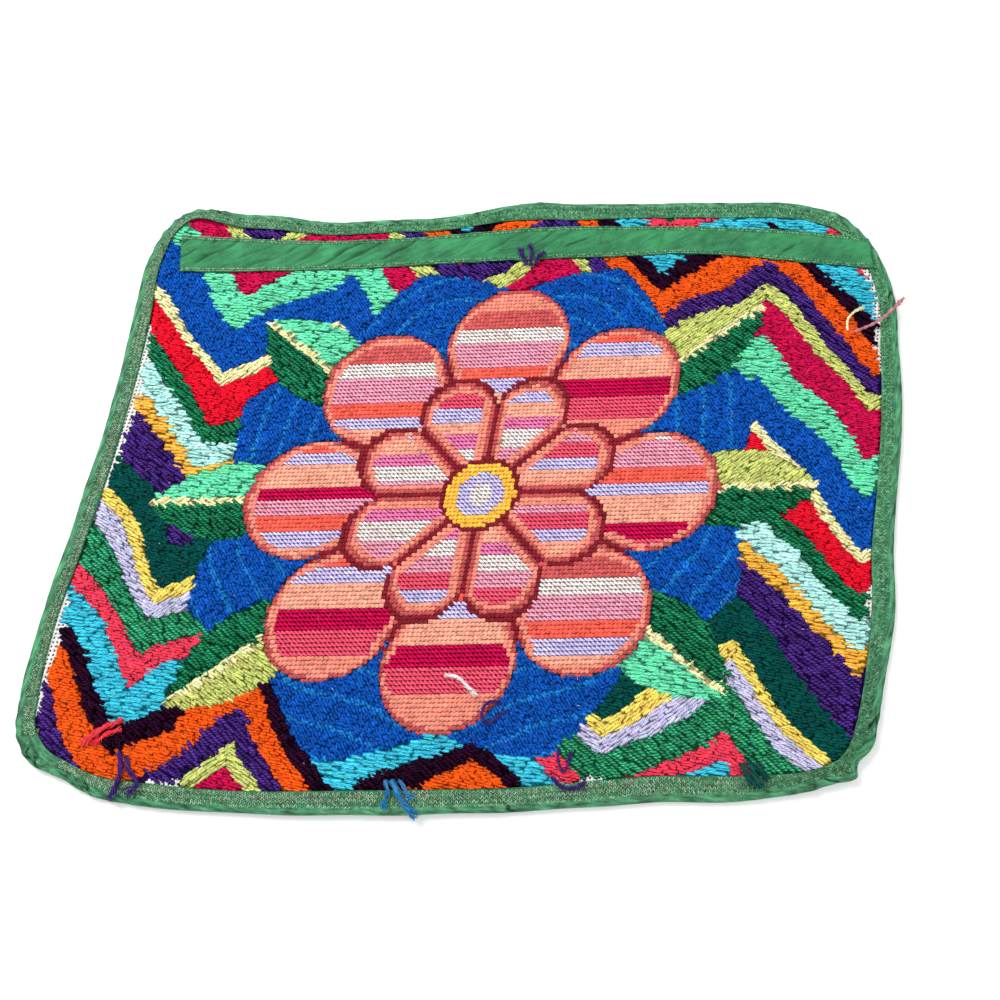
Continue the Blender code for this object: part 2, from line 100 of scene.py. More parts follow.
EDGE = tuple(EdgePoint(*row) for row in (
    (-264.5, -131.8, -252.9, -130.9, 0.3), (-263.1, -151.4, -251.8, -147.8, 1),
    (-255.3, -165, -244.8, -158.4, 1), (-233.3, -175.8, -229.8, -167.5, 1),
    (-215.8, -184.8, -214, -174.5, 0.9), (-194, -189.8, -194, -177.8, 0.4),
    (-150, -194.2, -150, -182.5), (-60, -197.2, -60, -184.2), (20, -196.4, 20, -183.8),
    (90, -192.5, 90, -179.2), (150, -191.6, 150, -179.6, 0.2), (175.1, -187.9, 173.6, -178, 0.8),
    (188, -184.3, 181.5, -175.9, 1), (197.6, -182.8, 187.7, -173.6, 1), (200, -181.4, 190, -172.4, 1),
    (200.7, -177.9, 191.8, -171.2, 1), (201.9, -174.2, 194.8, -168.3, 1),
    (209.8, -167.2, 199.1, -161.8, 1), (214.9, -154.3, 203.5, -151.9, 0.8),
    (221.4, -134.4, 210, -133.5, 0.3), (234.3, -93, 220.5, -92), (239.4, -55, 226.5, -51.9),
    (245.4, -25, 233, -24), (256.4, 28, 243.5, 28), (261.1, 72, 249.7, 72), (263.7, 108, 253, 108, 0.1),
    (261.5, 127.8, 250.5, 126.8, 0.3), (255.7, 146.7, 244.5, 143.3, 0.4),
    (247.4, 160.8, 238.8, 153.5, 0.6), (237.4, 172.3, 231, 161.3, 0.6),
    (221.1, 179.2, 217.4, 167.4, 0.3), (160, 186.1, 160, 173.1), (105.4, 187.4, 105.3, 175.2),
    (62, 188.2, 62, 174.8), (41.3, 190.2, 42.3, 175.9, 0.3), (20.6, 188.2, 22.6, 176, 0.2),
    (-30, 181.8, -30, 170.8), (-57.4, 182, -57.9, 171.3), (-100, 181.7, -100, 170.8),
    (-139.5, 188.8, -137.4, 176.6, 0.2), (-163.1, 190.6, -160, 178.7, 0.5),
    (-179.7, 194.2, -175.7, 182.7, 1), (-192.2, 194, -186.4, 185.8, 1),
    (-204.1, 188.4, -195.6, 184.3, 1), (-213.2, 177.1, -204.4, 175.4, 0.9),
    (-222.4, 155.8, -212.3, 154.9, 0.3), (-228.5, 108, -216.2, 108), (-235, 48, -222.8, 48),
    (-248.7, -32, -236.8, -32), (-261.1, -94, -250.5, -94),
))


class StripRow(NamedTuple):
    """The two long edges of the top strip's solid at one place along it."""

    x: float
    lower_y: float
    upper_y: float


STRIP_EDGES = tuple(StripRow(*row) for row in (
    (-203, 149.5, 176.2), (-160, 148, 173.4), (-110, 147.5, 169.6), (-60, 147.6, 169),
    (-10, 148.8, 170.8), (40, 149.6, 172.8), (90, 149.4, 172.2), (140, 149.6, 170), (180, 145, 167),
    (220, 138.6, 161.8), (252, 132.6, 153.6),
))
STRIP_FIRST, STRIP_LAST = STRIP_EDGES[0].x, STRIP_EDGES[-1].x
STRIP_DROPS = (3.3, 3.4)  # the cloth's lower and upper edges lie this far below the solid's
STRIP_START = 3.4  # its raw end lies this far inside the solid's
PANEL_TOP = 3.0  # the canvas's upper face where the tape holds it


class YarnEnd(NamedTuple):
    """One loose end of yarn: its node, colour, radius and the places it passes."""

    node: str
    colour: str
    radius: float
    places: tuple


def yarn(name: str, colour: str, radius: float, *places: tuple) -> YarnEnd:
    """Name a loose end after its node in the frame."""
    return YarnEnd(f"yarn_end_{name}", colour, radius, places)


YARN_ENDS = (
    yarn("violet_corner_1", "violet", 1.0, (-205, -161), (-202.6, -170), (-203.4, -179),
         (-207, -187.6)),
    yarn("violet_corner_2", "violet", 1.0, (-201, -164), (-197.5, -172), (-192.4, -179.4),
         (-197.5, -185.6)),
    yarn("scarlet_corner_1", "scarlet", 1.1, (-205, -144), (-212, -147), (-220, -152), (-227, -157.6)),
    yarn("scarlet_corner_2", "scarlet", 0.9, (-205, -149), (-211, -151), (-217, -154.6), (-221, -158)),
    yarn("azure_front_1", "sea_blue", 1.2, (-50.5, -179), (-47, -186), (-42, -192.5), (-36.5, -199.2)),
    yarn("azure_front_2", "sea_blue", 0.8, (-54, -179), (-52.6, -185), (-53.8, -190), (-54.6, -194.6)),
    yarn("azure_front_3", "sea_blue", 0.7, (-46.5, -179), (-42.6, -184.6), (-38.6, -189.4)),
    yarn("violet_loop", "violet", 0.6, (12.5, -142.5), (6.5, -147), (1.6, -149.6), (-0.8, -145),
         (0.6, -139.8), (5.2, -137.2), (10.4, -138.4)),
    yarn("cream_thread", "pale_pink", 0.7, (-22, -122.4), (-15.5, -123.2), (-10, -127.8),
         (-3.8, -134.6)),
    yarn("pink_side", "dusty_pink", 0.7, (236, 88), (247, 91.5), (256, 96.5), (264, 103.6),
         (271.5, 110.8)),
    yarn("cream_side", "cream", 0.5, (233, 89), (233.6, 96), (238, 101.2), (245.5, 105)),
    yarn("teal_front_1", "deep_teal", 1.2, (140.5, -173), (142.5, -179), (144.8, -184.6)),
    yarn("teal_front_2", "deep_teal", 1.2, (144.6, -172), (146.8, -179.6), (149.6, -186.2)),
    yarn("teal_front_3", "deep_teal", 1.0, (148.6, -173), (151, -178.4), (153.2, -182.6)),
    yarn("violet_top_1", "violet", 0.9, (31, 145.6), (28.4, 151.6), (26.6, 157.6)),
    yarn("violet_top_2", "violet", 0.9, (33.8, 145), (34.2, 153), (33.4, 160.4)),
    yarn("violet_top_3", "violet", 0.9, (36.8, 145.6), (39.8, 151.6), (43.4, 154.4)),
    yarn("violet_front_loop", "violet", 0.5, (41.4, -163), (40.8, -170), (43.6, -176), (46.6, -171),
         (48.2, -164.4)),
    yarn("violet_front_edge", "violet", 0.7, (37, -178.6), (42, -183.6), (49, -184.8), (55.4, -180.6)),
)


# ---- colours of the wool, as the eye sees them, from 0 to 255 ----

WOOL = {
    "violet": (59, 29, 106), "gold": (247, 177, 61), "aqua": (177, 237, 227), "forest": (17, 103, 67),
    "scarlet": (237, 4, 41), "cream": (247, 237, 171), "cobalt": (4, 83, 178), "azure": (16, 116, 196),
    "mint": (101, 219, 170), "crimson": (204, 4, 75), "lime": (197, 205, 112), "orange": (247, 89, 4),
    "raisin": (32, 4, 28), "turquoise": (51, 186, 212), "coral_red": (247, 61, 90),
    "green": (35, 130, 88), "lilac_grey": (195, 192, 226), "yellow": (247, 213, 97),
    "deep_teal": (4, 77, 72), "salmon": (222, 131, 112), "coral": (247, 83, 110),
    "peach": (226, 154, 130), "lilac": (205, 194, 244), "pale_pink": (247, 229, 224),
    "mauve": (247, 158, 182), "ember": (226, 87, 71), "hot_pink": (247, 123, 176),
    "rose_brown": (177, 75, 75), "wine": (120, 29, 39), "brick": (191, 81, 81),
    # shadow is no wool but painted shadow in the holes of the bare canvas
    "dusty_pink": (194, 120, 131), "canvas_white": (244, 241, 233), "shadow": (52, 46, 44),
    "sea_blue": (9, 121, 178),
}
WOOL_NAMES = tuple(WOOL)
WOOL_INDEX = {name: index for index, name in enumerate(WOOL_NAMES)}


def linear(colour: Sequence[float]) -> Array:
    """Turn a colour as the eye sees it, from 0 to 255, into scene linear numbers."""
    share = np.asarray(colour, float) / 255.0
    return np.where(share <= 0.04045, share / 12.92, ((share + 0.055) / 1.055) ** 2.4)


WOOL_LINEAR = np.array([linear(WOOL[name]) for name in WOOL_NAMES])


def dye(name: str) -> Array:
    """The scene linear colour of one wool."""
    return WOOL_LINEAR[WOOL_INDEX[name]]


# ---- small helpers ----


DRIFT_WAVES = 5


def smoothstep(value: Array) -> Array:
    """Ease from 0 to 1 as the value goes from 0 to 1."""
    held = np.clip(value, 0.0, 1.0)
    return held * held * (3.0 - 2.0 * held)


def drift(x: Array, y: Array, size: float, turn: int) -> Array:
    """A smooth wandering value from about -1 to 1.

    Args:
        x: Places across, in millimetres.
        y: Places up, in millimetres.
        size: About how wide one swell of the value is, in millimetres.
        turn: Which of many such fields to take.

    Returns:
        One value for each place.
    """
    rng = np.random.default_rng(SEED + turn)
    total = np.zeros(np.broadcast(x, y).shape)
    for _ in range(DRIFT_WAVES):
        angle, phase = rng.uniform(0.0, TURN, 2)
        wave = TURN / (size * rng.uniform(0.7, 1.6))
        total = total + np.sin(wave * (x * math.cos(angle) + y * math.sin(angle)) + phase)
    return total / 2.6  # the waves seldom add up to more


def creases(place: Array, pitch: float, width: float, turn: int, period: float = 0.0) -> Array:
    """Uneven folds side by side, each 1 or less along its line and 0 away from it.

    Args:
        place: Distances across the folds, in millimetres.
        pitch: About how far apart the folds lie.
        width: How wide each fold is.
        turn: Which of many such patterns to take.
        period: The distance after which the pattern comes round again, if it does.

    Returns:
        One value for each place.
    """
    count = max(round(period / pitch), 1) if period else 997
    pitch = period / count if period else pitch
    table = np.random.default_rng(SEED + 100 + turn).uniform(size=(count, 2))
    cell = np.floor(place / pitch).astype(int)
    total = np.zeros(place.shape)
    for near in (cell - 1, cell, cell + 1):
        shift, strength = np.moveaxis(table[near % count], -1, 0)
        middle = (near + 0.1 + 0.8 * shift) * pitch
        fold = (0.25 + 0.75 * strength) * np.exp(-((place - middle) / width) ** 2)
        total = np.maximum(total, fold)
    return total


class SmoothPath:
    """A smooth curve through rows of numbers, spaced by the distance between their places."""

    def __init__(self, rows: Sequence[Sequence[float]], closed: bool) -> None:
        """Take the rows, of which the first two numbers are a place.

        Args:
            rows: The rows that the curve passes.
            closed: Whether it runs on from the last row to the first.
        """
        self.rows = np.array(rows, float)
        self.closed = closed
        places = self.rows[:, :2]
        ahead = np.roll(places, -1, axis=0) if closed else places[1:]
        self.spans = np.linalg.norm(ahead - places[: len(ahead)], axis=1)
        self.knots = np.concatenate(([0.0], np.cumsum(self.spans)))
        self.length = float(self.knots[-1])
        self.slopes = self._slopes()

    def _slopes(self) -> Array:
        """The rate of change at each row, weighted by the spans on its two sides."""
        rows, spans = self.rows, self.spans
        if self.closed:
            ahead = (np.roll(rows, -1, axis=0) - rows) / spans[:, None]
            behind = np.roll(ahead, 1, axis=0)
            after, before = spans[:, None], np.roll(spans, 1)[:, None]
            return (ahead * before + behind * after) / (before + after)
        step = (rows[1:] - rows[:-1]) / spans[:, None]
        inner = step[1:] * spans[:-1, None] + step[:-1] * spans[1:, None]
        inner = inner / (spans[:-1] + spans[1:])[:, None]
        return np.concatenate((step[:1], inner, step[-1:]))

    def at(self, distance: Array) -> Array:
        """The curve's rows at the given distances along it.

        Args:
            distance: Distances from the first row, in the rows' own units.

        Returns:
            One row for each distance.
        """
        distance = np.atleast_1d(np.asarray(distance, float))
        if self.closed:
            distance = np.mod(distance, self.length)
        found = np.searchsorted(self.knots, distance, side="right") - 1
        span = np.clip(found, 0, len(self.spans) - 1)
        width = self.spans[span][:, None]
        share = (distance - self.knots[span])[:, None] / width
        following = (span + 1) % len(self.rows)
        start, end = self.rows[span], self.rows[following]
        leave, arrive = self.slopes[span] * width, self.slopes[following] * width
        square, cube = share**2, share**3
        return (
            (2 * cube - 3 * square + 1) * start
            + (cube - 2 * square + share) * leave
            + (3 * square - 2 * cube) * end
            + (cube - square) * arrive
        )


EDGE_PATH = SmoothPath(EDGE, closed=True)
STRIP_SOLID = SmoothPath([(row.x, 0.0, row.lower_y, row.upper_y) for row in STRIP_EDGES], closed=False)
STRIP_PATH = SmoothPath(STRIP_SOLID.rows - (0.0, 0.0, *STRIP_DROPS), closed=False)


def tape_at(stop: Array) -> tuple[Array, ...]:
    """The tape's outer fold, its way inward, its width and its gathers, by how far along it is."""
    rows = EDGE_PATH.at(stop)
    tape = rows[:, 2:4] - rows[:, 0:2]
    width = np.linalg.norm(tape, axis=1)
    return rows[:, 0:2], tape / width[:, None], width, rows[:, 4]


def search_tree(*meshes: Mesh) -> BVHTree:
    """A search tree of the faces of one mesh or more."""
    corners: list = []
    faces: list = []
    for mesh in meshes:
        first = len(corners)
        corners += [tuple(vert.co) for vert in mesh.vertices]
        faces += [tuple(first + vert for vert in face.vertices) for face in mesh.polygons]
    return BVHTree.FromPolygons(corners, faces)


@dataclass
class Layout:
    """Ties the plane in which the panel was cut to the frame's own places."""

    sample_step: float = 1.5
    chunk: int = 2000  # this many places are looked up at once
    ray_start: float = 0.05  # metres above or below the floor, clear of the panel

    def __post_init__(self) -> None:
        """Read where the strip's solid lies, which fixes the two planes to each other."""
        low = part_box("top_strip")[0]
        lowest_y = min(row.lower_y for row in STRIP_EDGES)
        self.shift = np.array((low[0] / MM - STRIP_FIRST, low[1] / MM - lowest_y, 0.0))
        samples = np.arange(0.0, EDGE_PATH.length, self.sample_step)
        self.outer, self.inward, self.width, _ = tape_at(samples)
        self.canvas, self.strip = (
            search_tree(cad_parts[name].data) for name in ("canvas_panel", "top_strip")
        )

    def to_frame(self, places: Array) -> Array:
        """Turn places in millimetres of the cutting plane into metres of the frame."""
        return (np.asarray(places, float) + self.shift) * MM

    def _depth(self, x: Array, y: Array) -> tuple[Array, Array]:
        """How far places lie inside the outer fold, negative outside, and their nearest samples."""
        x, y = np.asarray(x, float).ravel(), np.asarray(y, float).ravel()
        nearest = np.empty(len(x), int)
        for first in range(0, len(x), self.chunk):
            here = slice(first, first + self.chunk)
            gap_x = x[here, None] - self.outer[None, :, 0]
            gap_y = y[here, None] - self.outer[None, :, 1]
            nearest[here] = np.argmin(gap_x**2 + gap_y**2, axis=1)
        gap = np.stack((x, y), 1) - self.outer[nearest]
        distance = np.linalg.norm(gap, axis=1)
        is_inside = (gap * self.inward[nearest]).sum(1) >= 0.0
        return np.where(is_inside, distance, -distance), nearest

    def past_tape(self, x: Array, y: Array) -> Array:
        """How far places lie past the tape's inner edge, in millimetres, negative under it."""
        depth, nearest = self._depth(x, y)
        return depth - self.width[nearest]

    def pull_in(self, x: Array, y: Array, share: float) -> tuple[Array, Array, Array]:
        """Move places outside a line under the tape onto that line.

        Args:
            x: Places across, in millimetres.
            y: Places up, in millimetres.
            share: How far in the line runs, as a share of the tape's width.

        Returns:
            The places across and up, and whether each one was moved.
        """
        depth, nearest = self._depth(x, y)
        inward = share * self.width[nearest]
        line = self.outer[nearest] + self.inward[nearest] * inward[:, None]
        is_out = depth < inward
        return np.where(is_out, line[:, 0], x), np.where(is_out, line[:, 1], y), is_out

    def height(
        self, tree: BVHTree, x: Array, y: Array, from_below: bool = False, missing: float = PANEL_TOP
    ) -> Array:
        """The height of a surface over each place, in millimetres.

        Args:
            tree: The surface's search tree.
            x: Places across, in millimetres.
            y: Places up, in millimetres.
            from_below: Look up at its lower face instead of down at its upper one.
            missing: The height to give where the surface is not met.

        Returns:
            One height for each place.
        """
        way = 1.0 if from_below else -1.0
        heights = np.full(len(x), missing)
        for index, point in enumerate(self.to_frame(np.stack((x, y, np.zeros(len(x))), 1))):
            start = Vector((point[0], point[1], -way * self.ray_start))
            hit = tree.ray_cast(start, Vector((0.0, 0.0, way)))[0]
            if hit is not None:
                heights[index] = hit.z / MM
        return heights

    @staticmethod
    def strip_share(x: Array, y: Array) -> Array:
        """How far up the top strip places lie, from 0 to 1; far outside that off its ends."""
        rows = STRIP_PATH.at(np.clip(x, STRIP_FIRST, STRIP_LAST) - STRIP_FIRST)
        share = (y - rows[:, 2]) / (rows[:, 3] - rows[:, 2])
        return np.where((x >= STRIP_FIRST + STRIP_START) & (x <= STRIP_LAST), share, 9.0)

    def under_strip(self, x: Array, y: Array) -> Array:
        """Whether places lie under the top strip."""
        share = self.strip_share(x, y)
        return (share > 0.0) & (share < 1.0)


LAYOUT = Layout()


def finish_piece(piece: Piece, slot: str, *nodes: str) -> Piece:
    """Let a piece ride on the panel and stand for its solids."""
    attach(piece, "root")
    if nodes:
        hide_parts(*nodes)
    triangles = sum(len(face.vertices) - 2 for face in piece.data.polygons)
    LOG.info("%s: %d triangles", piece.name, triangles)
    return piece


def link_mesh(mesh: Mesh, material: Material) -> Piece:
    """Put a mesh in the scene as a smooth piece of the same name, with its material."""
    mesh.shade_smooth()
    mesh.materials.append(material)
    piece = bpy.data.objects.new(mesh.name, mesh)
    bpy.context.scene.collection.objects.link(piece)
    return piece


def write_colours(mesh: Mesh, colours: Array, domain: str = "POINT") -> None:
    """Store colours under the name that the wool reads, one a vertex or one a face corner."""
    layer = mesh.color_attributes.new("Yarn", "FLOAT_COLOR", domain)
    alpha = np.ones((len(colours), 1))
    layer.data.foreach_set("color", np.hstack((colours, alpha)).astype(np.float32).ravel())


def write_uv(mesh: Mesh, name: str, across: Array, up: Array) -> None:
    """Store a map with one place for each corner of each face."""
    layer = mesh.uv_layers.new(name=name)
    layer.uv.foreach_set("vector", np.stack((across, up), 1).astype(np.float32).ravel())


def read(items: Sequence, name: str, width: int = 1, kind: type = np.float32) -> Array:
    """One value of each of a mesh's items, in rows where the value has several numbers."""
    found = np.empty(len(items) * width, kind)
    items.foreach_get(name, found)
    return found.reshape(-1, width) if width > 1 else found


def corner_vertices(mesh: Mesh) -> Array:
    """The vertex at each corner of each face."""
    return read(mesh.loops, "vertex_index", kind=np.int32)


def corner_places(mesh: Mesh) -> tuple[Array, Array, Array]:
    """Each face corner's place in metres, whether it is on the underside, and the faces' sizes."""
    counts = read(mesh.polygons, "loop_total", kind=np.int32)
    is_below = np.repeat(read(mesh.polygons, "normal", 3)[:, 2] < -0.2, counts)
    return read(mesh.vertices, "co", 3)[corner_vertices(mesh)], is_below, counts


def write_plan_map(mesh: Mesh, places: Array) -> None:
    """Store the map that the finished colours are laid out on: the panel seen from above."""
    low, high = np.array(CAD_BOX[0][:2]), np.array(CAD_BOX[1][:2])
    side = float((high - low).max()) * 1.04
    plan = ((places[:, :2] - (low + high) / 2.0) / side + 0.5)[corner_vertices(mesh)]
    write_uv(mesh, "OFBake", plan[:, 0], plan[:, 1])


def places_of(verts: Vertices) -> Array:
    """The places of vertices, in one array."""
    return np.array([tuple(vert.co) for vert in verts])


def move(verts: Vertices, places: Array) -> None:
    """Put each vertex in its place."""
    for vert, place in zip(verts, places):
        vert.co = place


def unit_sheet(columns: int, rows: int) -> tuple[Form, Array, Array]:
    """A flat sheet of squares, and how far across and up it its vertices lie, from 0 to 1."""
    sheet = bmesh.new()
    bmesh.ops.create_grid(sheet, x_segments=columns, y_segments=rows, size=1.0)
    share = (places_of(sheet.verts) + 1.0) / 2.0
    return sheet, share[:, 0], share[:, 1]


def two_sided(sheet: Form) -> tuple[Vertices, Vertices]:
    """Give a flat sheet a second side, and say which vertices are on the upper and lower one."""
    copied = bmesh.ops.extrude_face_region(sheet, geom=list(sheet.faces), use_keep_orig=True)
    upper = [item for item in copied["geom"] if isinstance(item, bmesh.types.BMVert)]
    on_top = set(upper)
    return upper, [vert for vert in sheet.verts if vert not in on_top]


def write_fold(form: Form, fold: Array) -> None:
    """Store how folded the cloth is at each vertex, from which the cotton paints shade in its folds."""
    layer = form.verts.layers.float.new("Fold")
    for vert, value in zip(form.verts, fold):
        vert[layer] = float(value)


def to_mesh(name: str, form: Form) -> Mesh:
    """Turn a finished form into a mesh."""
    mesh = bpy.data.meshes.new(name)
    form.to_mesh(mesh)
    form.free()
    return mesh


# ---- finishes ----


class Nodes:
    """A material's node tree, with short ways to add and join nodes."""

    def __init__(self, name: str) -> None:
        """Start a material whose shader is the Principled one."""
        self.material = bpy.data.materials.new(name)
        self.material.use_nodes = True
        self.tree = self.material.node_tree
        self.shader = self.tree.nodes["Principled BSDF"]

    def put(self, value: object, socket: Socket) -> None:
        """Join a socket to an input, or set the input to a constant."""
        if isinstance(value, Socket):
            self.tree.links.new(value, socket)
        else:
            socket.default_value = value

    def add(self, kind: str, inputs: dict | None = None, **settings: object) -> bpy.types.Node:
        """Add a node.

        Args:
            kind: The end of the name of its type, such as "Math".
            inputs: What goes into its sockets, by their names or numbers.
            **settings: Its own properties.

        Returns:
            The node.
        """
        node = self.tree.nodes.new(f"ShaderNode{kind}")
        for name, value in settings.items():
            setattr(node, name, value)
        for key, value in (inputs or {}).items():
            self.put(value, node.inputs[key])
        return node

    def math(self, operation: str, first: object, second: object = 0.0) -> Socket:
        """Work out a number from two numbers or sockets."""
        return self.add("Math", {0: first, 1: second}, operation=operation).outputs[0]

    def times(self, first: object, second: object) -> Socket:
        """Multiply two numbers or sockets."""
        return self.math("MULTIPLY", first, second)

    def plus(self, first: object, second: object) -> Socket:
        """Add two numbers or sockets."""
        return self.math("ADD", first, second)

    def noise(self, scale: float, detail: float, where: Socket) -> Socket:
        """A noise value from 0 to 1 over a piece."""
        inputs = {"Scale": scale, "Detail": detail, "Vector": where}
        return self.add("TexNoise", inputs).outputs["Fac"]

    def spread(self, value: object, low: float, high: float) -> Socket:
        """Spread a value that goes from 0 to 1 over another range."""
        return self.add("MapRange", {"Value": value, "To Min": low, "To Max": high}).outputs[0]

    def mix(self, share: object, first: object, second: object, blend: str = "MIX") -> Socket:
        """Mix two colours."""
        inputs = {0: share, 6: first, 7: second}
        return self.add("Mix", inputs, data_type="RGBA", blend_type=blend).outputs[2]

    def grey(self, value: Socket) -> Socket:
        """Turn a number into a grey."""
        return self.add("CombineColor", dict.fromkeys(range(3), value)).outputs[0]

    def shaded(self, colour: Socket, shade: Socket) -> Socket:
        """A colour made darker or paler by a number."""
        return self.mix(1.0, colour, self.grey(shade), "MULTIPLY")

    def dyed(self, shade: Socket) -> Socket:
        """The colours stored on the piece, its dye with painted light and shade, made darker or paler
        by a number.
        """
        return self.shaded(self.add("VertexColor", layer_name="Yarn").outputs["Color"], shade)

    def object_places(self) -> Socket:
        """Places on the piece itself, in metres."""
        return self.add("TexCoord").outputs["Object"]

    def own_map(self, name: str) -> Socket:
        """One of the piece's own maps."""
        return self.add("UVMap", uv_map=name).outputs[0]

    def parts(self, places: Socket) -> tuple[Socket, Socket]:
        """The first two numbers of a place."""
        split = self.add("SeparateXYZ", {0: places})
        return split.outputs[0], split.outputs[1]

    def finish(
        self, colour: object, height: Socket, depth: float, roughness: object, shine: float
    ) -> Material:
        """Set the shader's colour, relief and roughness.

        Args:
            colour: The base colour.
            height: The relief, from 0 to 1.
            depth: How deep the relief is, in metres.
            roughness: A number, or a socket that gives one.
            shine: How strongly the surface reflects.

        Returns:
            The finished material.
        """
        relief = self.add("Bump", {"Distance": depth, "Height": height}).outputs[0]
        inputs = {
            "Base Color": colour, "Roughness": roughness, "Specular IOR Level": shine, "Normal": relief
        }
        for name, value in inputs.items():
            self.put(value, self.shader.inputs[name])
        return self.material


@dataclass(frozen=True)
class WoolFinish:
    """Plied wool that takes its colour from the colours stored on the piece: its dye, with painted
    shade and highlights.
    """

    name: str
    ply_pitch: float = 13.0  # millimetres along the yarn for one turn
    plies: float = 4.0
    groove: float = 0.42  # how much painted shade darkens the groove between two plies; their crests get a smaller painted highlight
    mottle: float = 0.16  # how uneven the dye is from tuft to tuft
    tufts: float = 330.0  # for each metre
    shine: float = 0.03

    def material(self) -> Material:
        """Make the material."""
        nodes = Nodes(self.name)
        along, around = nodes.parts(nodes.own_map("Ply"))
        turn = nodes.plus(nodes.math("DIVIDE", along, self.ply_pitch), around)
        wave = nodes.math("SINE", nodes.times(turn, TURN * self.plies))
        ridge = nodes.math("POWER", nodes.plus(nodes.times(wave, 0.5), 0.5), 0.6)
        places = nodes.object_places()
        fibre = self._fibres(nodes, along, around, places)
        # painted shade in the grooves between plies and painted highlight on their crests
        plies = nodes.spread(ridge, 1.0 - self.groove, 1.0 + 0.3 * self.groove)
        tufts = nodes.noise(self.tufts, 1.0, places)
        tufts = nodes.spread(tufts, 1.0 - 2.0 * self.mottle, 1.0 + 2.0 * self.mottle)
        shade = nodes.times(nodes.times(plies, nodes.spread(fibre, 0.3, 1.7)), tufts)
        height, roughness = nodes.plus(ridge, nodes.times(fibre, 0.5)), nodes.spread(fibre, 0.82, 0.98)
        return nodes.finish(nodes.dyed(shade), height, 0.3 * MM, roughness, self.shine)

    @staticmethod
    def _fibres(nodes: Nodes, along: Socket, around: Socket, places: Socket) -> Socket:
        """Fine streaks that run with the yarn and differ from stroke to stroke, 0 to 1."""
        apart = nodes.plus(*nodes.parts(places))
        where = {0: nodes.times(along, 0.7), 1: nodes.times(around, 11.0), 2: nodes.times(apart, 900.0)}
        return nodes.noise(1.0, 2.0, nodes.add("CombineXYZ", where).outputs[0])


@dataclass(frozen=True)
class CottonFinish:
    """Plain woven cotton in its dye, a little faded, with soft creases in relief and in painted light
    and shade.
    """

    name: str
    colour: tuple
    faded: tuple
    deep: tuple
    # painted shade in the folds, mixed in where the cloth is folded
    crease: tuple
    crease_angle: float = 0.0  # radians between the cloth's length and its fine creases
    crease_length: float = 9.0  # millimetres
    crease_pitch: float = 1.6  # millimetres from one fine crease to the next
    streak: float = 0.5  # how strongly the fine creases show as painted light and shade
    patch_scale: float = 60.0  # faded patches for each metre
    thread: float = 0.55  # millimetres between threads of the weave
    slubs: float = 900.0  # thick places of the thread for each metre
    shine: float = 0.12

    def material(self) -> Material:
        """Make the material."""
        nodes = Nodes(self.name)
        colour, faded, deep, crease = (
            (*linear(tone), 1.0) for tone in (self.colour, self.faded, self.deep, self.crease)
        )
        cloth, places = nodes.own_map("Cloth"), nodes.object_places()
        warp, weft = (
            nodes.math("SINE", nodes.times(way, TURN / self.thread)) for way in nodes.parts(cloth)
        )
        weave = nodes.spread(nodes.times(warp, weft), 0.35, 0.65)
        patches = nodes.noise(self.patch_scale, 3.0, places)
        slub = nodes.noise(self.slubs, 2.0, places)
        worn = nodes.mix(nodes.spread(patches, -1.1, 2.1), deep, colour)
        worn = nodes.mix(nodes.spread(slub, 0.0, 0.42), worn, faded)
        # painted shade: the colour goes towards the crease colour where the cloth is folded
        fold = nodes.add("Attribute", attribute_name="Fold").outputs["Fac"]
        worn = nodes.shaded(nodes.mix(fold, worn, crease), nodes.spread(weave, 0.86, 1.12))
        streaks = self._streaks(nodes, cloth)
        # painted light and shade along the fine creases
        tone = nodes.spread(streaks, 1.0 - 3.0 * self.streak, 1.0 + 3.0 * self.streak)
        height = nodes.plus(nodes.times(weave, 0.15), streaks)
        roughness = nodes.spread(slub, 0.6, 0.8)
        return nodes.finish(nodes.shaded(worn, tone), height, 1.4 * MM, roughness, self.shine)

    def _streaks(self, nodes: Nodes, cloth: Socket) -> Socket:
        """Fine creases that run one way over the cloth, as a value from 0 to 1."""
        turn = (0.0, 0.0, -self.crease_angle)
        turned = nodes.add("Mapping", {"Vector": cloth, "Rotation": turn}).outputs[0]
        size = (1.0 / self.crease_length, 1.0 / self.crease_pitch, 1.0)
        return nodes.noise(1.0, 2.5, nodes.add("Mapping", {"Vector": turned, "Scale": size}).outputs[0])


@dataclass(frozen=True)
class GroundFinish:
    """The canvas behind the wool: painted shade in its depths above, tent stitch with painted shade
    between its stitches on its face below.
    """

    name: str
    fibres: float = 2200.0  # for each metre
    shine: float = 0.03

    def material(self) -> Material:
        """Make the material."""
        nodes = Nodes(self.name)
        column, row = nodes.parts(nodes.own_map("Holes"))
        diagonal = nodes.plus(column, row)
        along = nodes.math("SUBTRACT", column, row)
        along = nodes.math("SUBTRACT", along, nodes.math("ROUND", diagonal))
        ridge = self._wave(nodes, nodes.times(diagonal, TURN), 0.6)
        notch = self._wave(nodes, nodes.times(along, math.pi), 0.4)
        lump = nodes.times(ridge, nodes.spread(notch, 0.35, 1.0))
        fibre = nodes.noise(self.fibres, 2.0, nodes.object_places())
        # painted shade between the tent stitches
        shade = nodes.times(nodes.spread(lump, 0.45, 1.12), nodes.spread(fibre, 0.75, 1.25))
        height, roughness = nodes.plus(lump, nodes.times(fibre, 0.3)), nodes.spread(fibre, 0.85, 0.98)
        return nodes.finish(nodes.dyed(shade), height, 0.6 * MM, roughness, self.shine)

    @staticmethod
    def _wave(nodes: Nodes, angle: Socket, sharpness: float) -> Socket:
        """A wave from 0 to 1, with broad crests where the sharpness is low."""
        wave = nodes.times(nodes.math("COSINE", angle), 0.4999)
        return nodes.math("POWER", nodes.plus(wave, 0.5), sharpness)


# ---- the picture that is worked on the canvas ----


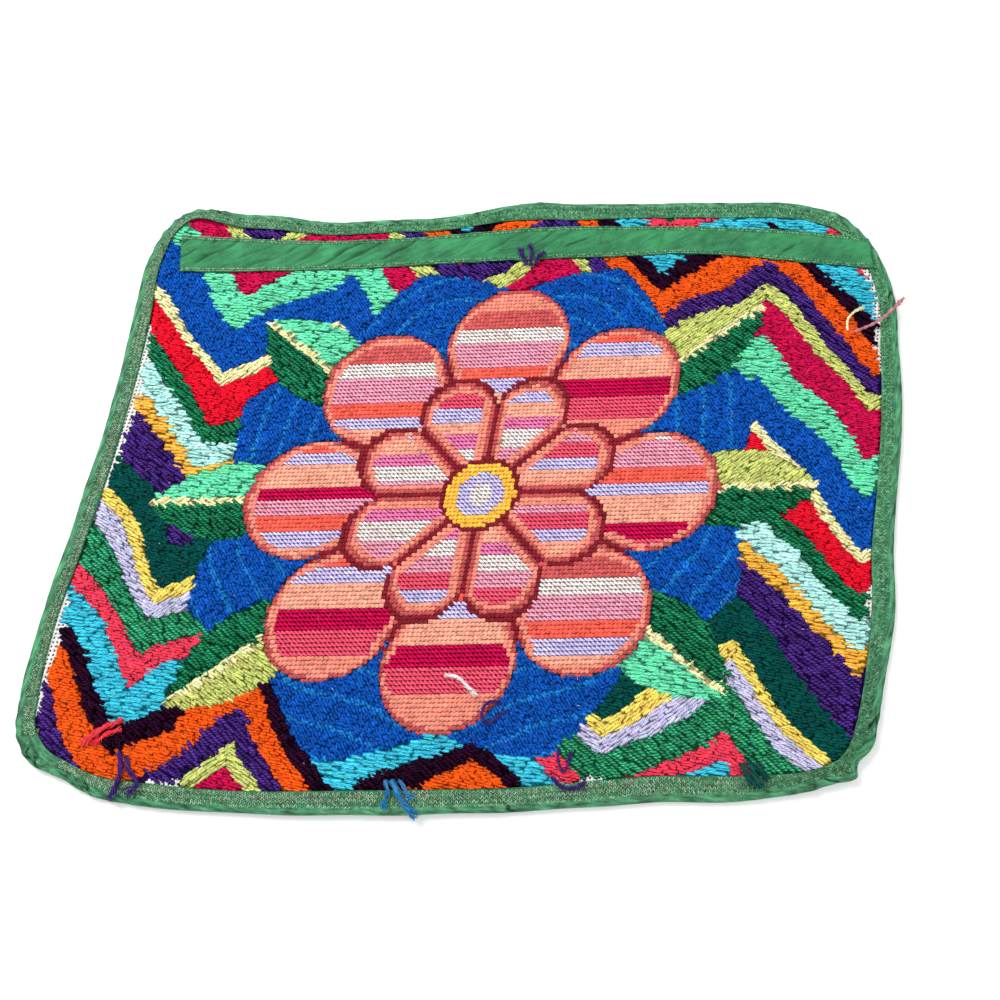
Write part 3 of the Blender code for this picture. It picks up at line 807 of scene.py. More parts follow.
class Lay(Enum):
    """How the wool lies on the wrong side of the canvas."""

    BRICK = "long flat stitches in offset rows"
    ROPE = "ropes whose plies show as short slanted strokes"
    DASH = "short, closely packed level strokes"
    REED = "long strokes that follow the band"
    FLUFF = "short brushed strokes"


LAYS_OF_COLOURS = {
    Lay.BRICK: ("gold", "aqua", "mint", "turquoise"),
    Lay.ROPE: ("violet", "forest", "green", "raisin"),
    Lay.DASH: ("crimson", "coral_red", "orange", "scarlet", "deep_teal"),
    Lay.REED: ("cream", "lime", "lilac_grey", "yellow"),
    Lay.FLUFF: ("cobalt", "azure"),
}


class Band(NamedTuple):
    """One band of colour: its wool and how wide it is worked."""

    wool: str
    width: float


FLAME_BANDS = tuple(Band(*row) for row in (
    ("violet", 22), ("gold", 10), ("aqua", 17), ("forest", 14), ("scarlet", 21), ("cream", 8),
    ("cobalt", 28), ("mint", 20), ("crimson", 23), ("lime", 12), ("violet", 15), ("orange", 18),
    ("raisin", 11), ("turquoise", 19), ("coral_red", 13), ("green", 19), ("lilac_grey", 12),
    ("yellow", 10), ("deep_teal", 25),
))
OUTER_PETAL_BANDS = tuple(Band(*row) for row in (
    ("salmon", 17), ("coral", 15), ("crimson", 12), ("peach", 16), ("lilac", 9), ("ember", 10),
    ("mauve", 17), ("pale_pink", 10), ("brick", 12),
))
INNER_PETAL_BANDS = tuple(Band(*row) for row in (
    ("pale_pink", 11), ("hot_pink", 8), ("peach", 10), ("lilac", 9), ("coral", 9), ("mauve", 10),
))
LEANING_WOOLS = tuple(
    WOOL_INDEX[name] for name in ("crimson", "coral", "lilac", "mauve", "hot_pink", "pale_pink")
)


def pick_band(bands: Sequence[Band], distance: Array) -> tuple[Array, Array]:
    """Find the band at each distance, over and over.

    Args:
        bands: The bands in order.
        distance: Distances across them, in millimetres.

    Returns:
        The number of each place's wool, and how far across its band it lies, 0 to 1.
    """
    widths = np.array([band.width for band in bands], float)
    ends = np.cumsum(widths)
    place = np.mod(distance, ends[-1])
    index = np.searchsorted(ends, place, side="right")
    share = 1.0 - (ends[index] - place) / widths[index]
    return np.array([WOOL_INDEX[band.wool] for band in bands])[index], share


@dataclass(frozen=True)
class HoleGrid:
    """The canvas's holes: 10 to the inch, leaning the way the stitches pull them."""

    pitch: float = 2.54
    lean: float = math.radians(10.683)
    middle_column: float = -26.0
    middle_row: float = 77.0

    def place(self, column: Array, row: Array) -> tuple[Array, Array]:
        """Where holes lie in the cutting plane, in millimetres."""
        x = EYE[0] + (column + row * math.sin(self.lean)) * self.pitch
        return x, EYE[1] + row * math.cos(self.lean) * self.pitch

    def holes(self, x: Array, y: Array) -> tuple[Array, Array]:
        """The columns and rows, in parts of a hole, at places in the cutting plane."""
        row = (y - EYE[1]) / (self.pitch * math.cos(self.lean))
        return (x - EYE[0]) / self.pitch - row * math.sin(self.lean), row

    def every(self, columns: tuple, rows: tuple, shift: float = 0.0) -> tuple[Array, ...]:
        """The column and row of every hole of a stretch of the canvas, and its place."""
        found = np.meshgrid(np.arange(*columns), np.arange(*rows))
        column, row = (part.ravel() + shift for part in found)
        return column, row, *self.place(column, row)

    def drawing(self, x: Array, y: Array) -> tuple[Array, Array]:
        """Places on the drawing, upright and centred, in millimetres."""
        column, row = self.holes(x, y)
        return (column - self.middle_column) * self.pitch, (row - self.middle_row) * self.pitch


def pick(rows: tuple, keep: Array) -> tuple:
    """The entries of each column that a mask or a list of numbers picks."""
    return type(rows)(*(values[keep] for values in rows))


class Worked(NamedTuple):
    """What is worked at each place."""

    wool: Array  # the number of its colour
    swell: Array  # 0 at the edge of its patch to 1 in the middle
    fine: Array  # whether it is in the fine field
    rising: Array  # whether its band climbs to the right

    def cover(self, inside: Array, **over: object) -> "Worked":
        """Work something else over the places inside a form."""
        return self._replace(
            **{name: np.where(inside, value, getattr(self, name)) for name, value in over.items()}
        )


class Spots(NamedTuple):
    """Places on the drawing, in millimetres and radians from the flower's middle."""

    right: Array
    rise: Array
    radius: Array
    angle: Array


@dataclass(frozen=True)
class Picture:
    """A flower with leaves on a blue star, among bands of flame stitch."""

    grid: HoleGrid = HoleGrid()
    middle: tuple = (2.0, -16.0)
    petals: int = 8
    outer_radius: float = 143.0
    inner_radius: float = 80.0
    notch: float = 0.34
    outline: float = 3.4
    rim: float = 7.2
    shadow: float = 4.0  # the dark line round the inner petals
    eye: tuple = ((24.0, "wine"), (21.0, "gold"), (14.0, "lilac"), (7.0, "pale_pink"))
    star_reach: float = 140.0
    star_point: float = 26.0
    streak_pitch: float = 17.0
    streak_width: float = 2.6
    leaf_angles: tuple = (0.0, 180.0, 38.0, 142.0, 218.0, 322.0)
    leaf_start: float = 100.0
    leaf_length: float = 102.0
    leaf_half_width: float = 25.0
    flame_step: float = 136.0
    flame_height: float = 30.0
    flame_drop: float = 0.30

    def at(self, x: Array, y: Array) -> Worked:
        """Say what is worked at places in the cutting plane, in millimetres."""
        across, up = self.grid.drawing(x, y)
        right, rise = across - self.middle[0], up - self.middle[1]
        spots = Spots(right, rise, np.hypot(right, rise), np.arctan2(rise, right))
        worked = self._star(self._flame(across, up), spots)
        return self._flower(self._leaves(worked, spots), spots)

    def _flame(self, across: Array, up: Array) -> Worked:
        """The zigzag bands that fill the ground."""
        turn = np.mod(across / self.flame_step + 0.31, 1.0)
        zigzag = np.abs(turn - 0.5) * 4.0 - 1.0
        level = up + self.flame_drop * across + self.flame_height * zigzag
        level = level / 1.16 + 2.6 * drift(across, up, 46.0, 12) + 5.0 * drift(across, up, 110.0, 13)
        wool, share = pick_band(FLAME_BANDS, level + 52.0)
        return Worked(wool, np.sin(math.pi * share), np.zeros(turn.shape, bool), turn < 0.5)

    def _star(self, worked: Worked, spots: Spots) -> Worked:
        """The blue star behind the flower, in two blues."""
        radius, angle = spots.radius, spots.angle
        point = np.abs(np.mod(angle / TURN * self.petals + 0.5, 1.0) - 0.5) * 2.0
        reach = self.star_reach + self.star_point * point + 8.0 * np.abs(np.cos(angle))
        streak = np.mod(radius + 5.0 * np.sin(angle * 9.0), self.streak_pitch) < self.streak_width
        blue = np.where(streak, WOOL_INDEX["azure"], WOOL_INDEX["cobalt"])
        edge = np.clip((reach - radius) / 12.0, 0.0, 1.0)
        return worked.cover(radius < reach, wool=blue, swell=edge)

    def _leaves(self, worked: Worked, spots: Spots) -> Worked:
        """Six leaves that come out from behind the flower."""
        for number, turn in enumerate(np.radians(self.leaf_angles)):
            along = spots.radius * np.cos(spots.angle - turn) - self.leaf_start
            aside = spots.radius * np.sin(spots.angle - turn)
            share = np.clip(along / self.leaf_length, 0.0, 1.0)
            reach = self.leaf_half_width * np.sin(math.pi * share) ** 0.8 + 0.01
            inside = (along > 0.0) & (along < self.leaf_length) & (np.abs(aside) < reach)
            pale = WOOL_INDEX["mint" if number % 2 else "lime"]
            leaf = np.where((aside > 0.0) ^ (number % 2 == 1), pale, WOOL_INDEX["forest"])
            leaf = np.where(np.abs(aside) < 2.4, WOOL_INDEX["cream"], leaf)
            swell = np.clip((reach - np.abs(aside)) / 9.0, 0.0, 1.0)
            rising = (aside > 0.0) ^ (math.cos(turn) < 0.0)
            worked = worked.cover(inside, wool=leaf, swell=swell, rising=rising)
        return worked

    def _flower(self, worked: Worked, spots: Spots) -> Worked:
        """Two rings of petals and an eye, each petal banded level across."""
        radius = spots.radius
        rings = (
            (self.outer_radius, 0.5, OUTER_PETAL_BANDS, 23.0),
            (self.inner_radius, 0.0, INNER_PETAL_BANDS, 11.0),
        )
        for reach, offset, bands, step in rings:
            turn = spots.angle / TURN * self.petals + offset
            from_side = 0.5 - np.abs(np.mod(turn, 1.0) - 0.5)
            lobe = np.sin(math.pi * from_side) ** 0.55
            tip = reach * (1.0 - self.notch + self.notch * lobe)
            inside = radius < tip
            side = radius * np.sin(from_side * TURN / self.petals)
            gap = np.minimum(tip - radius, side)
            petal, _ = pick_band(bands, spots.rise + step * np.floor(turn) + 300.0)
            petal = np.where(gap < self.rim, WOOL_INDEX["salmon"], petal)
            petal = np.where(gap < self.outline, WOOL_INDEX["rose_brown"], petal)
            petal = np.where(side < self.outline * 0.5, WOOL_INDEX["wine"], petal)
            shaded = (radius < tip + self.shadow) & ~inside & worked.fine
            worked = worked.cover(shaded, wool=WOOL_INDEX["wine"])
            worked = worked.cover(inside, wool=petal, swell=np.clip(gap / 10.0, 0.0, 1.0), fine=True)
        for reach, name in self.eye:
            worked = worked.cover(radius < reach, wool=WOOL_INDEX[name], swell=0.6)
        return worked


PICTURE = Picture()


class BarePatch(NamedTuple):
    """A stretch of the tape's inner edge along which the canvas was left unworked."""

    x: float
    y: float
    reach: float
    width: float


BARE_PATCHES = tuple(BarePatch(*row) for row in (
    (-251, -100, 15, 6), (-222, 52, 34, 4.4), (252, 100, 26, 3.6), (-255, -134, 5, 2.6),
    (-176, -178, 7, 2.2), (222, -86, 6, 2.4), (60, -180, 6, 1.8),
))
BARE_FROM = 1.1  # a margin wider than this shows its canvas threads


def bare_margin(x: Array, y: Array) -> Array:
    """How wide the canvas is left bare inside the tape, in millimetres."""
    margin = 0.15 + 0.3 * drift(x, y, 9.0, 3)
    for patch in BARE_PATCHES:
        near = np.exp(-((x - patch.x) ** 2 + (y - patch.y) ** 2) / (2.0 * patch.reach**2))
        margin = margin + patch.width * near
    return margin


def wool_lift(x: Array, y: Array, worked: Worked, past: Array) -> Array:
    """How far the wool's bed stands above the solid's upper face, in millimetres."""
    coarse = 0.95 * worked.swell**0.7 + 0.42 * drift(x, y, 15.0, 2) + 0.16 * drift(x, y, 7.0, 4)
    lift = np.where(worked.fine, 0.3 * worked.swell, coarse) * smoothstep(past / 4.0)
    share = LAYOUT.strip_share(x, y)
    by_strip = np.minimum(np.abs(share), np.abs(share - 1.0)) * 22.0
    return lift * smoothstep((by_strip + 0.5) / 5.0)


# ---- stitches: many small strokes of yarn, each bent over what it covers ----


class Strokes(NamedTuple):
    """Strokes of yarn, one row for each; lengths in millimetres."""

    start: Array
    end: Array
    width: Array
    height: Array
    rise: Array
    bow: Array
    colour: Array
    # painted shade at each stroke's ends
    shade: Array
    haze: Array  # painted highlight on its crest, where loose fibres catch the light


def strokes_of(start: Array, end: Array, *values: Array | float) -> Strokes:
    """Gather strokes, where a plain number counts for all of them."""
    count = len(start)
    return Strokes(start, end, *(np.full(count, v) if np.isscalar(v) else v for v in values))


def join_strokes(parts: Sequence[Strokes]) -> Strokes:
    """Put several lots of strokes in one."""
    return Strokes(*(np.concatenate(values) for values in zip(*parts)))


@dataclass
class StrokeShape:
    """The spindle that every stroke of a piece copies."""

    around: int = 4
    along: int = 3
    blunt: float = 0.6  # below 1 its rings lie nearer its ends
    is_flat: bool = False  # whether a flat side looks up, and not a ridge
    tones: tuple = (0.36, 1.36)  # painted shade at its foot and painted highlight at its crest, as strengths of the dye
    fullness: float = 0.35  # below 1 its middle is fuller than a ball's

    def __post_init__(self) -> None:
        """Make the spindle once: a round form, eased so that its middle is full."""
        spindle = bmesh.new()
        bmesh.ops.create_uvsphere(
            spindle, u_segments=self.around, v_segments=self.along, radius=1.0
        )
        turn = math.pi / 2.0 + (math.pi / self.around if self.is_flat else 0.0)
        bmesh.ops.rotate(spindle, verts=spindle.verts, matrix=Matrix.Rotation(turn, 3, "Z"))
        bmesh.ops.recalc_face_normals(spindle, faces=spindle.faces)
        spindle.verts.index_update()
        places = places_of(spindle.verts)
        lowest_first = sorted(spindle.faces, key=lambda face: round(face.calc_center_median().y, 4))
        self.faces = [[vert.index for vert in face.verts] for face in lowest_first]
        spindle.free()
        reach, tiny = np.hypot(places[:, 0], places[:, 1]), 1e-6
        full = np.clip(reach, tiny, 1.0) ** self.fullness / np.maximum(reach, tiny)
        full = np.where(reach > tiny, full, 0.0)
        self.side, self.up = places[:, 0] * full, places[:, 1] * full
        reach_along = np.clip(places[:, 2], -1.0, 1.0)
        self.share = (np.sign(reach_along) * np.abs(reach_along) ** self.blunt + 1.0) / 2.0
        self.corner_share, self.corner_turn = self._corners(places)

    def _corners(self, places: Array) -> tuple[Array, Array]:
        """Where each face corner lies along and around the spindle, seams kept whole."""
        turn = np.mod(np.arctan2(places[:, 1], places[:, 0]) / TURN, 1.0)
        is_pole = np.hypot(places[:, 0], places[:, 1]) < 1e-5
        turns = []
        for face in self.faces:
            found, poles = turn[face], is_pole[face]
            if np.ptp(found[~poles]) > 0.5:
                found = np.where(found < 0.5, found + 1.0, found)
            found[poles] = found[~poles].mean()
            turns.append(found)
        return self.share[np.concatenate(self.faces)], np.concatenate(turns)


SPLAY = 0.22  # millimetres by which the finished map opens out a stroke's steep sides


def stroke_mesh(name: str, strokes: Strokes, shape: StrokeShape) -> Mesh:
    """Join one copy of the spindle for each stroke into a mesh.

    Args:
        name: The mesh's name.
        strokes: The strokes, in millimetres of the cutting plane.
        shape: The spindle to copy.

    Returns:
        A mesh in metres of the frame, with its colours and its maps.
    """
    count, size = len(strokes.start), len(shape.share)
    run = strokes.end - strokes.start
    length = np.linalg.norm(run, axis=1)
    ahead = run / np.maximum(length, 1e-6)[:, None]
    side = np.stack((-ahead[:, 1], ahead[:, 0], np.zeros(count)), 1)
    side /= np.maximum(np.linalg.norm(side, axis=1), 1e-6)[:, None]
    up = np.cross(ahead, side)
    arch = np.sin(math.pi * shape.share)
    sideways = shape.side[None, :] * (strokes.width / 2.0)[:, None] + arch * strokes.bow[:, None]
    upwards = shape.up[None, :] * (strokes.height / 2.0)[:, None] + arch * strokes.rise[:, None]
    places = (
        strokes.start[:, None, :]
        + run[:, None, :] * shape.share[None, :, None]
        + side[:, None, :] * sideways[:, :, None]
        + up[:, None, :] * upwards[:, :, None]
    ).reshape(-1, 3)
    places = LAYOUT.to_frame(places)
    counts = np.array([len(face) for face in shape.faces])
    first = (np.arange(count) * size)[:, None]
    loops = np.concatenate([(np.array(face)[None, :] + first).ravel() for face in shape.faces])
    starts = np.concatenate(([0], np.cumsum(np.repeat(counts, count))[:-1]))
    mesh = bpy.data.meshes.new(name)
    for items, key, values, kind in (
        (mesh.vertices, "co", places, np.float32),
        (mesh.loops, "vertex_index", loops, np.int32),
        (mesh.polygons, "loop_start", starts, np.int32),
    ):
        items.add(len(values))
        items.foreach_set(key, values.astype(kind).ravel())
    mesh.update(calc_edges=True)
    write_colours(mesh, stroke_tints(strokes, shape, arch))
    spread = side[:, None, :] * (SPLAY * shape.side * (1.0 - shape.up))[None, :, None] * MM
    write_plan_map(mesh, places + spread.reshape(-1, 3))
    ends = np.cumsum(counts)
    shares, turns = [], []
    for start, end in zip(ends - counts, ends):
        shares.append((length[:, None] * shape.corner_share[None, start:end]).ravel())
        turns.append(np.tile(shape.corner_turn[start:end], count))
    write_uv(mesh, "Ply", np.concatenate(shares), np.concatenate(turns))
    return mesh


def stroke_tints(strokes: Strokes, shape: StrokeShape, arch: Array) -> Array:
    """The colour of each vertex: painted shade at the ends and the foot, and a painted highlight on the
    crest.
    """
    dip = 1.0 - strokes.shade[:, None] * (1.0 - arch[None, :] ** 0.5)
    foot, top = shape.tones
    # painted shade at the foot and painted highlight at the crest
    crest = foot + (top - foot) * (np.clip(shape.up, -1.0, 1.0) + 1.0) / 2.0
    tint = strokes.colour[:, None, :] * (dip * crest[None, :])[:, :, None]
    # painted highlight on the crest, strongest where it faces up
    pale = strokes.haze[:, None] * np.clip(shape.up, 0.0, 1.0)[None, :] ** 2 * arch[None, :]
    tint = tint + strokes.colour.mean(axis=1)[:, None, None] * pale[:, :, None]
    return np.clip(tint.reshape(-1, 3), 0.0, 1.0)


@dataclass
class Handwork:
    """Something made by hand, uneven by a stream of random numbers of its own."""

    stream: int = 0

    def __post_init__(self) -> None:
        """Start the stream."""
        self.rng = np.random.default_rng(SEED + self.stream)

    def scatter(self, spread: float | Array, size: int | tuple) -> Array:
        """Numbers that lie about 0."""
        return spread * self.rng.standard_normal(size)

    def about(self, spread: float, size: int | tuple) -> Array:
        """Factors that lie about 1."""
        return 1.0 + self.scatter(spread, size)

    @staticmethod
    def make_piece(
        name: str, strokes: Strokes, shape: StrokeShape, finish: WoolFinish, slot: str = "needlework"
    ) -> Piece:
        """Make one piece of many strokes."""
        mesh = stroke_mesh(name, strokes, shape)
        return finish_piece(link_mesh(mesh, finish.material()), slot)


@dataclass(frozen=True)
class LayStyle:
    """The sizes of one way to lay the wool, in millimetres and degrees."""

    row_angle: float
    row_gap: float
    pitch: float
    stroke_angle: float
    length: float
    width: float
    height: float
    waver: float = 5.0
    follows_band: bool = False
    along: int = 3
    blunt: float = 0.5
    shade: float = 0.3  # painted shade: how much darker a stroke is at its ends
    # painted highlight on each stroke's crest
    haze: float = 0.1
    spread: float = 0.1  # how uneven the dye is from stroke to stroke
    lump: float = 0.2  # how unevenly high the strokes lie
    # painted shade at each stroke's foot and painted highlight at its crest
    tones: tuple = (0.5, 1.32)
    ply_pitch: float = 13.0
    plies: float = 4.0
    # painted shade in the groove between plies
    groove: float = 0.36


STYLES = {
    Lay.BRICK: LayStyle(
        -6, 1.85, 6.2, -8, 7.8, 2.35, 1.6, 6, along=5, blunt=0.38
    ),
    Lay.ROPE: LayStyle(
        -40, 2.3, 5.4, -41, 7.6, 2.7, 2.1, 7, along=5, blunt=0.36, shade=0.34, haze=0.24,
        spread=0.2, lump=0.46, tones=(0.1, 1.75), ply_pitch=4, plies=2, groove=0.8
    ),
    Lay.DASH: LayStyle(
        -12, 1.5, 3, -14, 4.2, 1.95, 1.4, 8, shade=0.2, lump=0.13, tones=(0.68, 1.2), groove=0.28
    ),
    Lay.REED: LayStyle(
        -33, 1.6, 4.6, -33, 6.2, 2.05, 1.45, 6, True, along=5, blunt=0.38, tones=(0.5, 1.3)
    ),
    Lay.FLUFF: LayStyle(
        -62, 1.7, 2.1, -48, 3.1, 2.15, 1.4, 20, shade=0.24, spread=0.14, lump=0.26, groove=0.28
    ),
}


@dataclass
class Needlework(Handwork):
    """All the wool that lies on the wrong side of the canvas."""

    ground_sink: float = 0.5  # the strokes' feet lie this far under the solid's top
    reach: float = 360.0  # rows of strokes are laid out this far from the middle
    half_size: tuple = (268.0, 200.0)  # and kept this far
    trimmed: float = 0.45  # the share left of an end that would reach over something
    flower_columns: tuple = (-130, 80)
    flower_rows: tuple = (0, 156)

    def _colour(self, wool: Array, x: Array, y: Array, spread: float) -> Array:
        """The dye of each stroke, uneven from stroke to stroke and over the panel."""
        value = self.about(spread, len(wool)) + 0.05 * drift(x, y, 30.0, 7)
        tint = self.about(0.03, (len(wool), 3))
        return WOOL_LINEAR[wool] * np.clip(value, 0.6, 1.5)[:, None] * tint

    @staticmethod
    def _is_open(x: Array, y: Array, past: Array) -> Array:
        """Whether places are worked, and not under the strip or the tape."""
        return (past > bare_margin(x, y)) & ~LAYOUT.under_strip(x, y)

    def fine_field(self) -> Strokes:
        """The flower's tent stitches, one for each hole."""
        grid = PICTURE.grid
        column, row, x, y = grid.every(self.flower_columns, self.flower_rows)
        worked, past = PICTURE.at(x, y), LAYOUT.past_tape(x, y)
        keep = worked.fine & self._is_open(x, y, past)
        column, row, x, y, past = (values[keep] for values in (column, row, x, y, past))
        worked = pick(worked, keep)
        count = len(x)
        leaning = np.isin(worked.wool, LEANING_WOOLS)
        reach, drop = np.where(leaning, 0.74, 0.62), np.where(leaning, 0.44, 0.04)
        jitter = self.scatter(0.045, (4, count))
        start = grid.place(column - reach + jitter[0], row + drop + jitter[1])
        end = grid.place(column + reach + jitter[2], row - drop + jitter[3])
        base = LAYOUT.height(LAYOUT.canvas, x, y) + wool_lift(x, y, worked, past) - 0.3
        base = base + self.scatter(0.1, count)
        return strokes_of(
            np.stack((*start, base), 1),
            np.stack((*end, base), 1),
            np.where(leaning, 1.85, 3.5) * self.about(0.05, count),
            1.3 * self.about(0.1, count),
            0.3 + self.scatter(0.1, count),
            self.scatter(0.1, count),
            self._colour(worked.wool, x, y, 0.08),
            # painted shade at the stitches' ends and a painted highlight on their crests
            np.where(leaning, 0.2, 0.14),
            0.1,
        )

    def ground(self, lay: Lay) -> Strokes:
        """The coarse wool of every colour that is laid one way."""
        style = STYLES[lay]
        wools = np.array([WOOL_INDEX[name] for name in LAYS_OF_COLOURS[lay]])
        sides = (False, True) if style.follows_band else (False,)
        return join_strokes([self._rows(style, wools, mirrored) for mirrored in sides])

    def _row_places(self, style: LayStyle, way: float) -> tuple[Array, Array]:
        """Places along uneven rows over the whole panel, a stroke's pitch apart."""
        rows = np.arange(-self.reach, self.reach, style.row_gap)
        step, row = np.meshgrid(np.arange(-self.reach, self.reach, style.pitch), rows)
        offset = self.rng.uniform(0.0, style.pitch, len(rows))[:, None]
        step = (step + offset + self.scatter(0.2 * style.pitch, step.shape)).ravel()
        row = (row + self.scatter(0.11 * style.row_gap, row.shape)).ravel()
        x = step * math.cos(way) - row * math.sin(way)
        y = step * math.sin(way) + row * math.cos(way)
        near = (np.abs(x) < self.half_size[0]) & (np.abs(y) < self.half_size[1])
        return x[near], y[near]

    def _rows(self, style: LayStyle, wools: Array, mirrored: bool) -> Strokes:
        """Rows of strokes over the whole panel, kept where their colour is worked."""
        flip = -1.0 if mirrored else 1.0
        x, y = self._row_places(style, math.radians(style.row_angle) * flip)
        worked = PICTURE.at(x, y)
        keep = np.isin(worked.wool, wools) & ~worked.fine
        if style.follows_band:
            keep &= worked.rising == mirrored
        x, y, worked = x[keep], y[keep], pick(worked, keep)
        past = LAYOUT.past_tape(x, y)
        keep = self._is_open(x, y, past)
        x, y, past, worked = x[keep], y[keep], past[keep], pick(worked, keep)
        count = len(x)
        waver = self.scatter(style.waver, count) + 0.7 * style.waver * drift(x, y, 24.0, 5)
        turn = np.radians(style.stroke_angle * flip + waver)
        half = style.length / 2.0 * self.about(0.12, count)
        run = np.stack((np.cos(turn), np.sin(turn)), 1) * half[:, None]
        lump = self.scatter(style.lump, count) * smoothstep(past / 3.0)
        base = LAYOUT.height(LAYOUT.canvas, x, y) - self.ground_sink
        base = base + wool_lift(x, y, worked, past) + lump
        middle = np.stack((x, y), 1)
        return strokes_of(
            np.column_stack((middle - run * self._kept(x, y, -run)[:, None], base)),
            np.column_stack((middle + run * self._kept(x, y, run)[:, None], base + 0.1)),
            style.width * self.about(0.09, count),
            style.height * self.about(0.09, count),
            0.25 * style.height * self.about(0.3, count),
            self.scatter(0.035 * style.length, count),
            self._colour(worked.wool, x, y, style.spread),
            style.shade,
            style.haze,
        )

    def _kept(self, x: Array, y: Array, run: Array) -> Array:
        """The share kept of ends that may reach over the flower or under the tape."""
        end_x, end_y = x + run[:, 0], y + run[:, 1]
        over = PICTURE.at(end_x, end_y).fine | LAYOUT.under_strip(end_x, end_y)
        return np.where(over | (LAYOUT.past_tape(end_x, end_y) < 0.0), self.trimmed, 1.0)

    def build(self) -> list[Piece]:
        """Make the pieces: the flower, and one piece for each way of laying."""
        tent = WoolFinish("tent_wool", ply_pitch=9.0, groove=0.2, mottle=0.08)
        stitch = StrokeShape(blunt=0.4, is_flat=True, tones=(0.6, 1.34))
        pieces = [self.make_piece("flower", self.fine_field(), stitch, tent)]
        for lay, style in STYLES.items():
            name = lay.name.lower()
            shape = StrokeShape(along=style.along, blunt=style.blunt, tones=style.tones)
            finish = WoolFinish(f"{name}_wool", style.ply_pitch, style.plies, style.groove)
            pieces.append(self.make_piece(f"ground_{name}", self.ground(lay), shape, finish))
        return pieces


# ---- the canvas ----


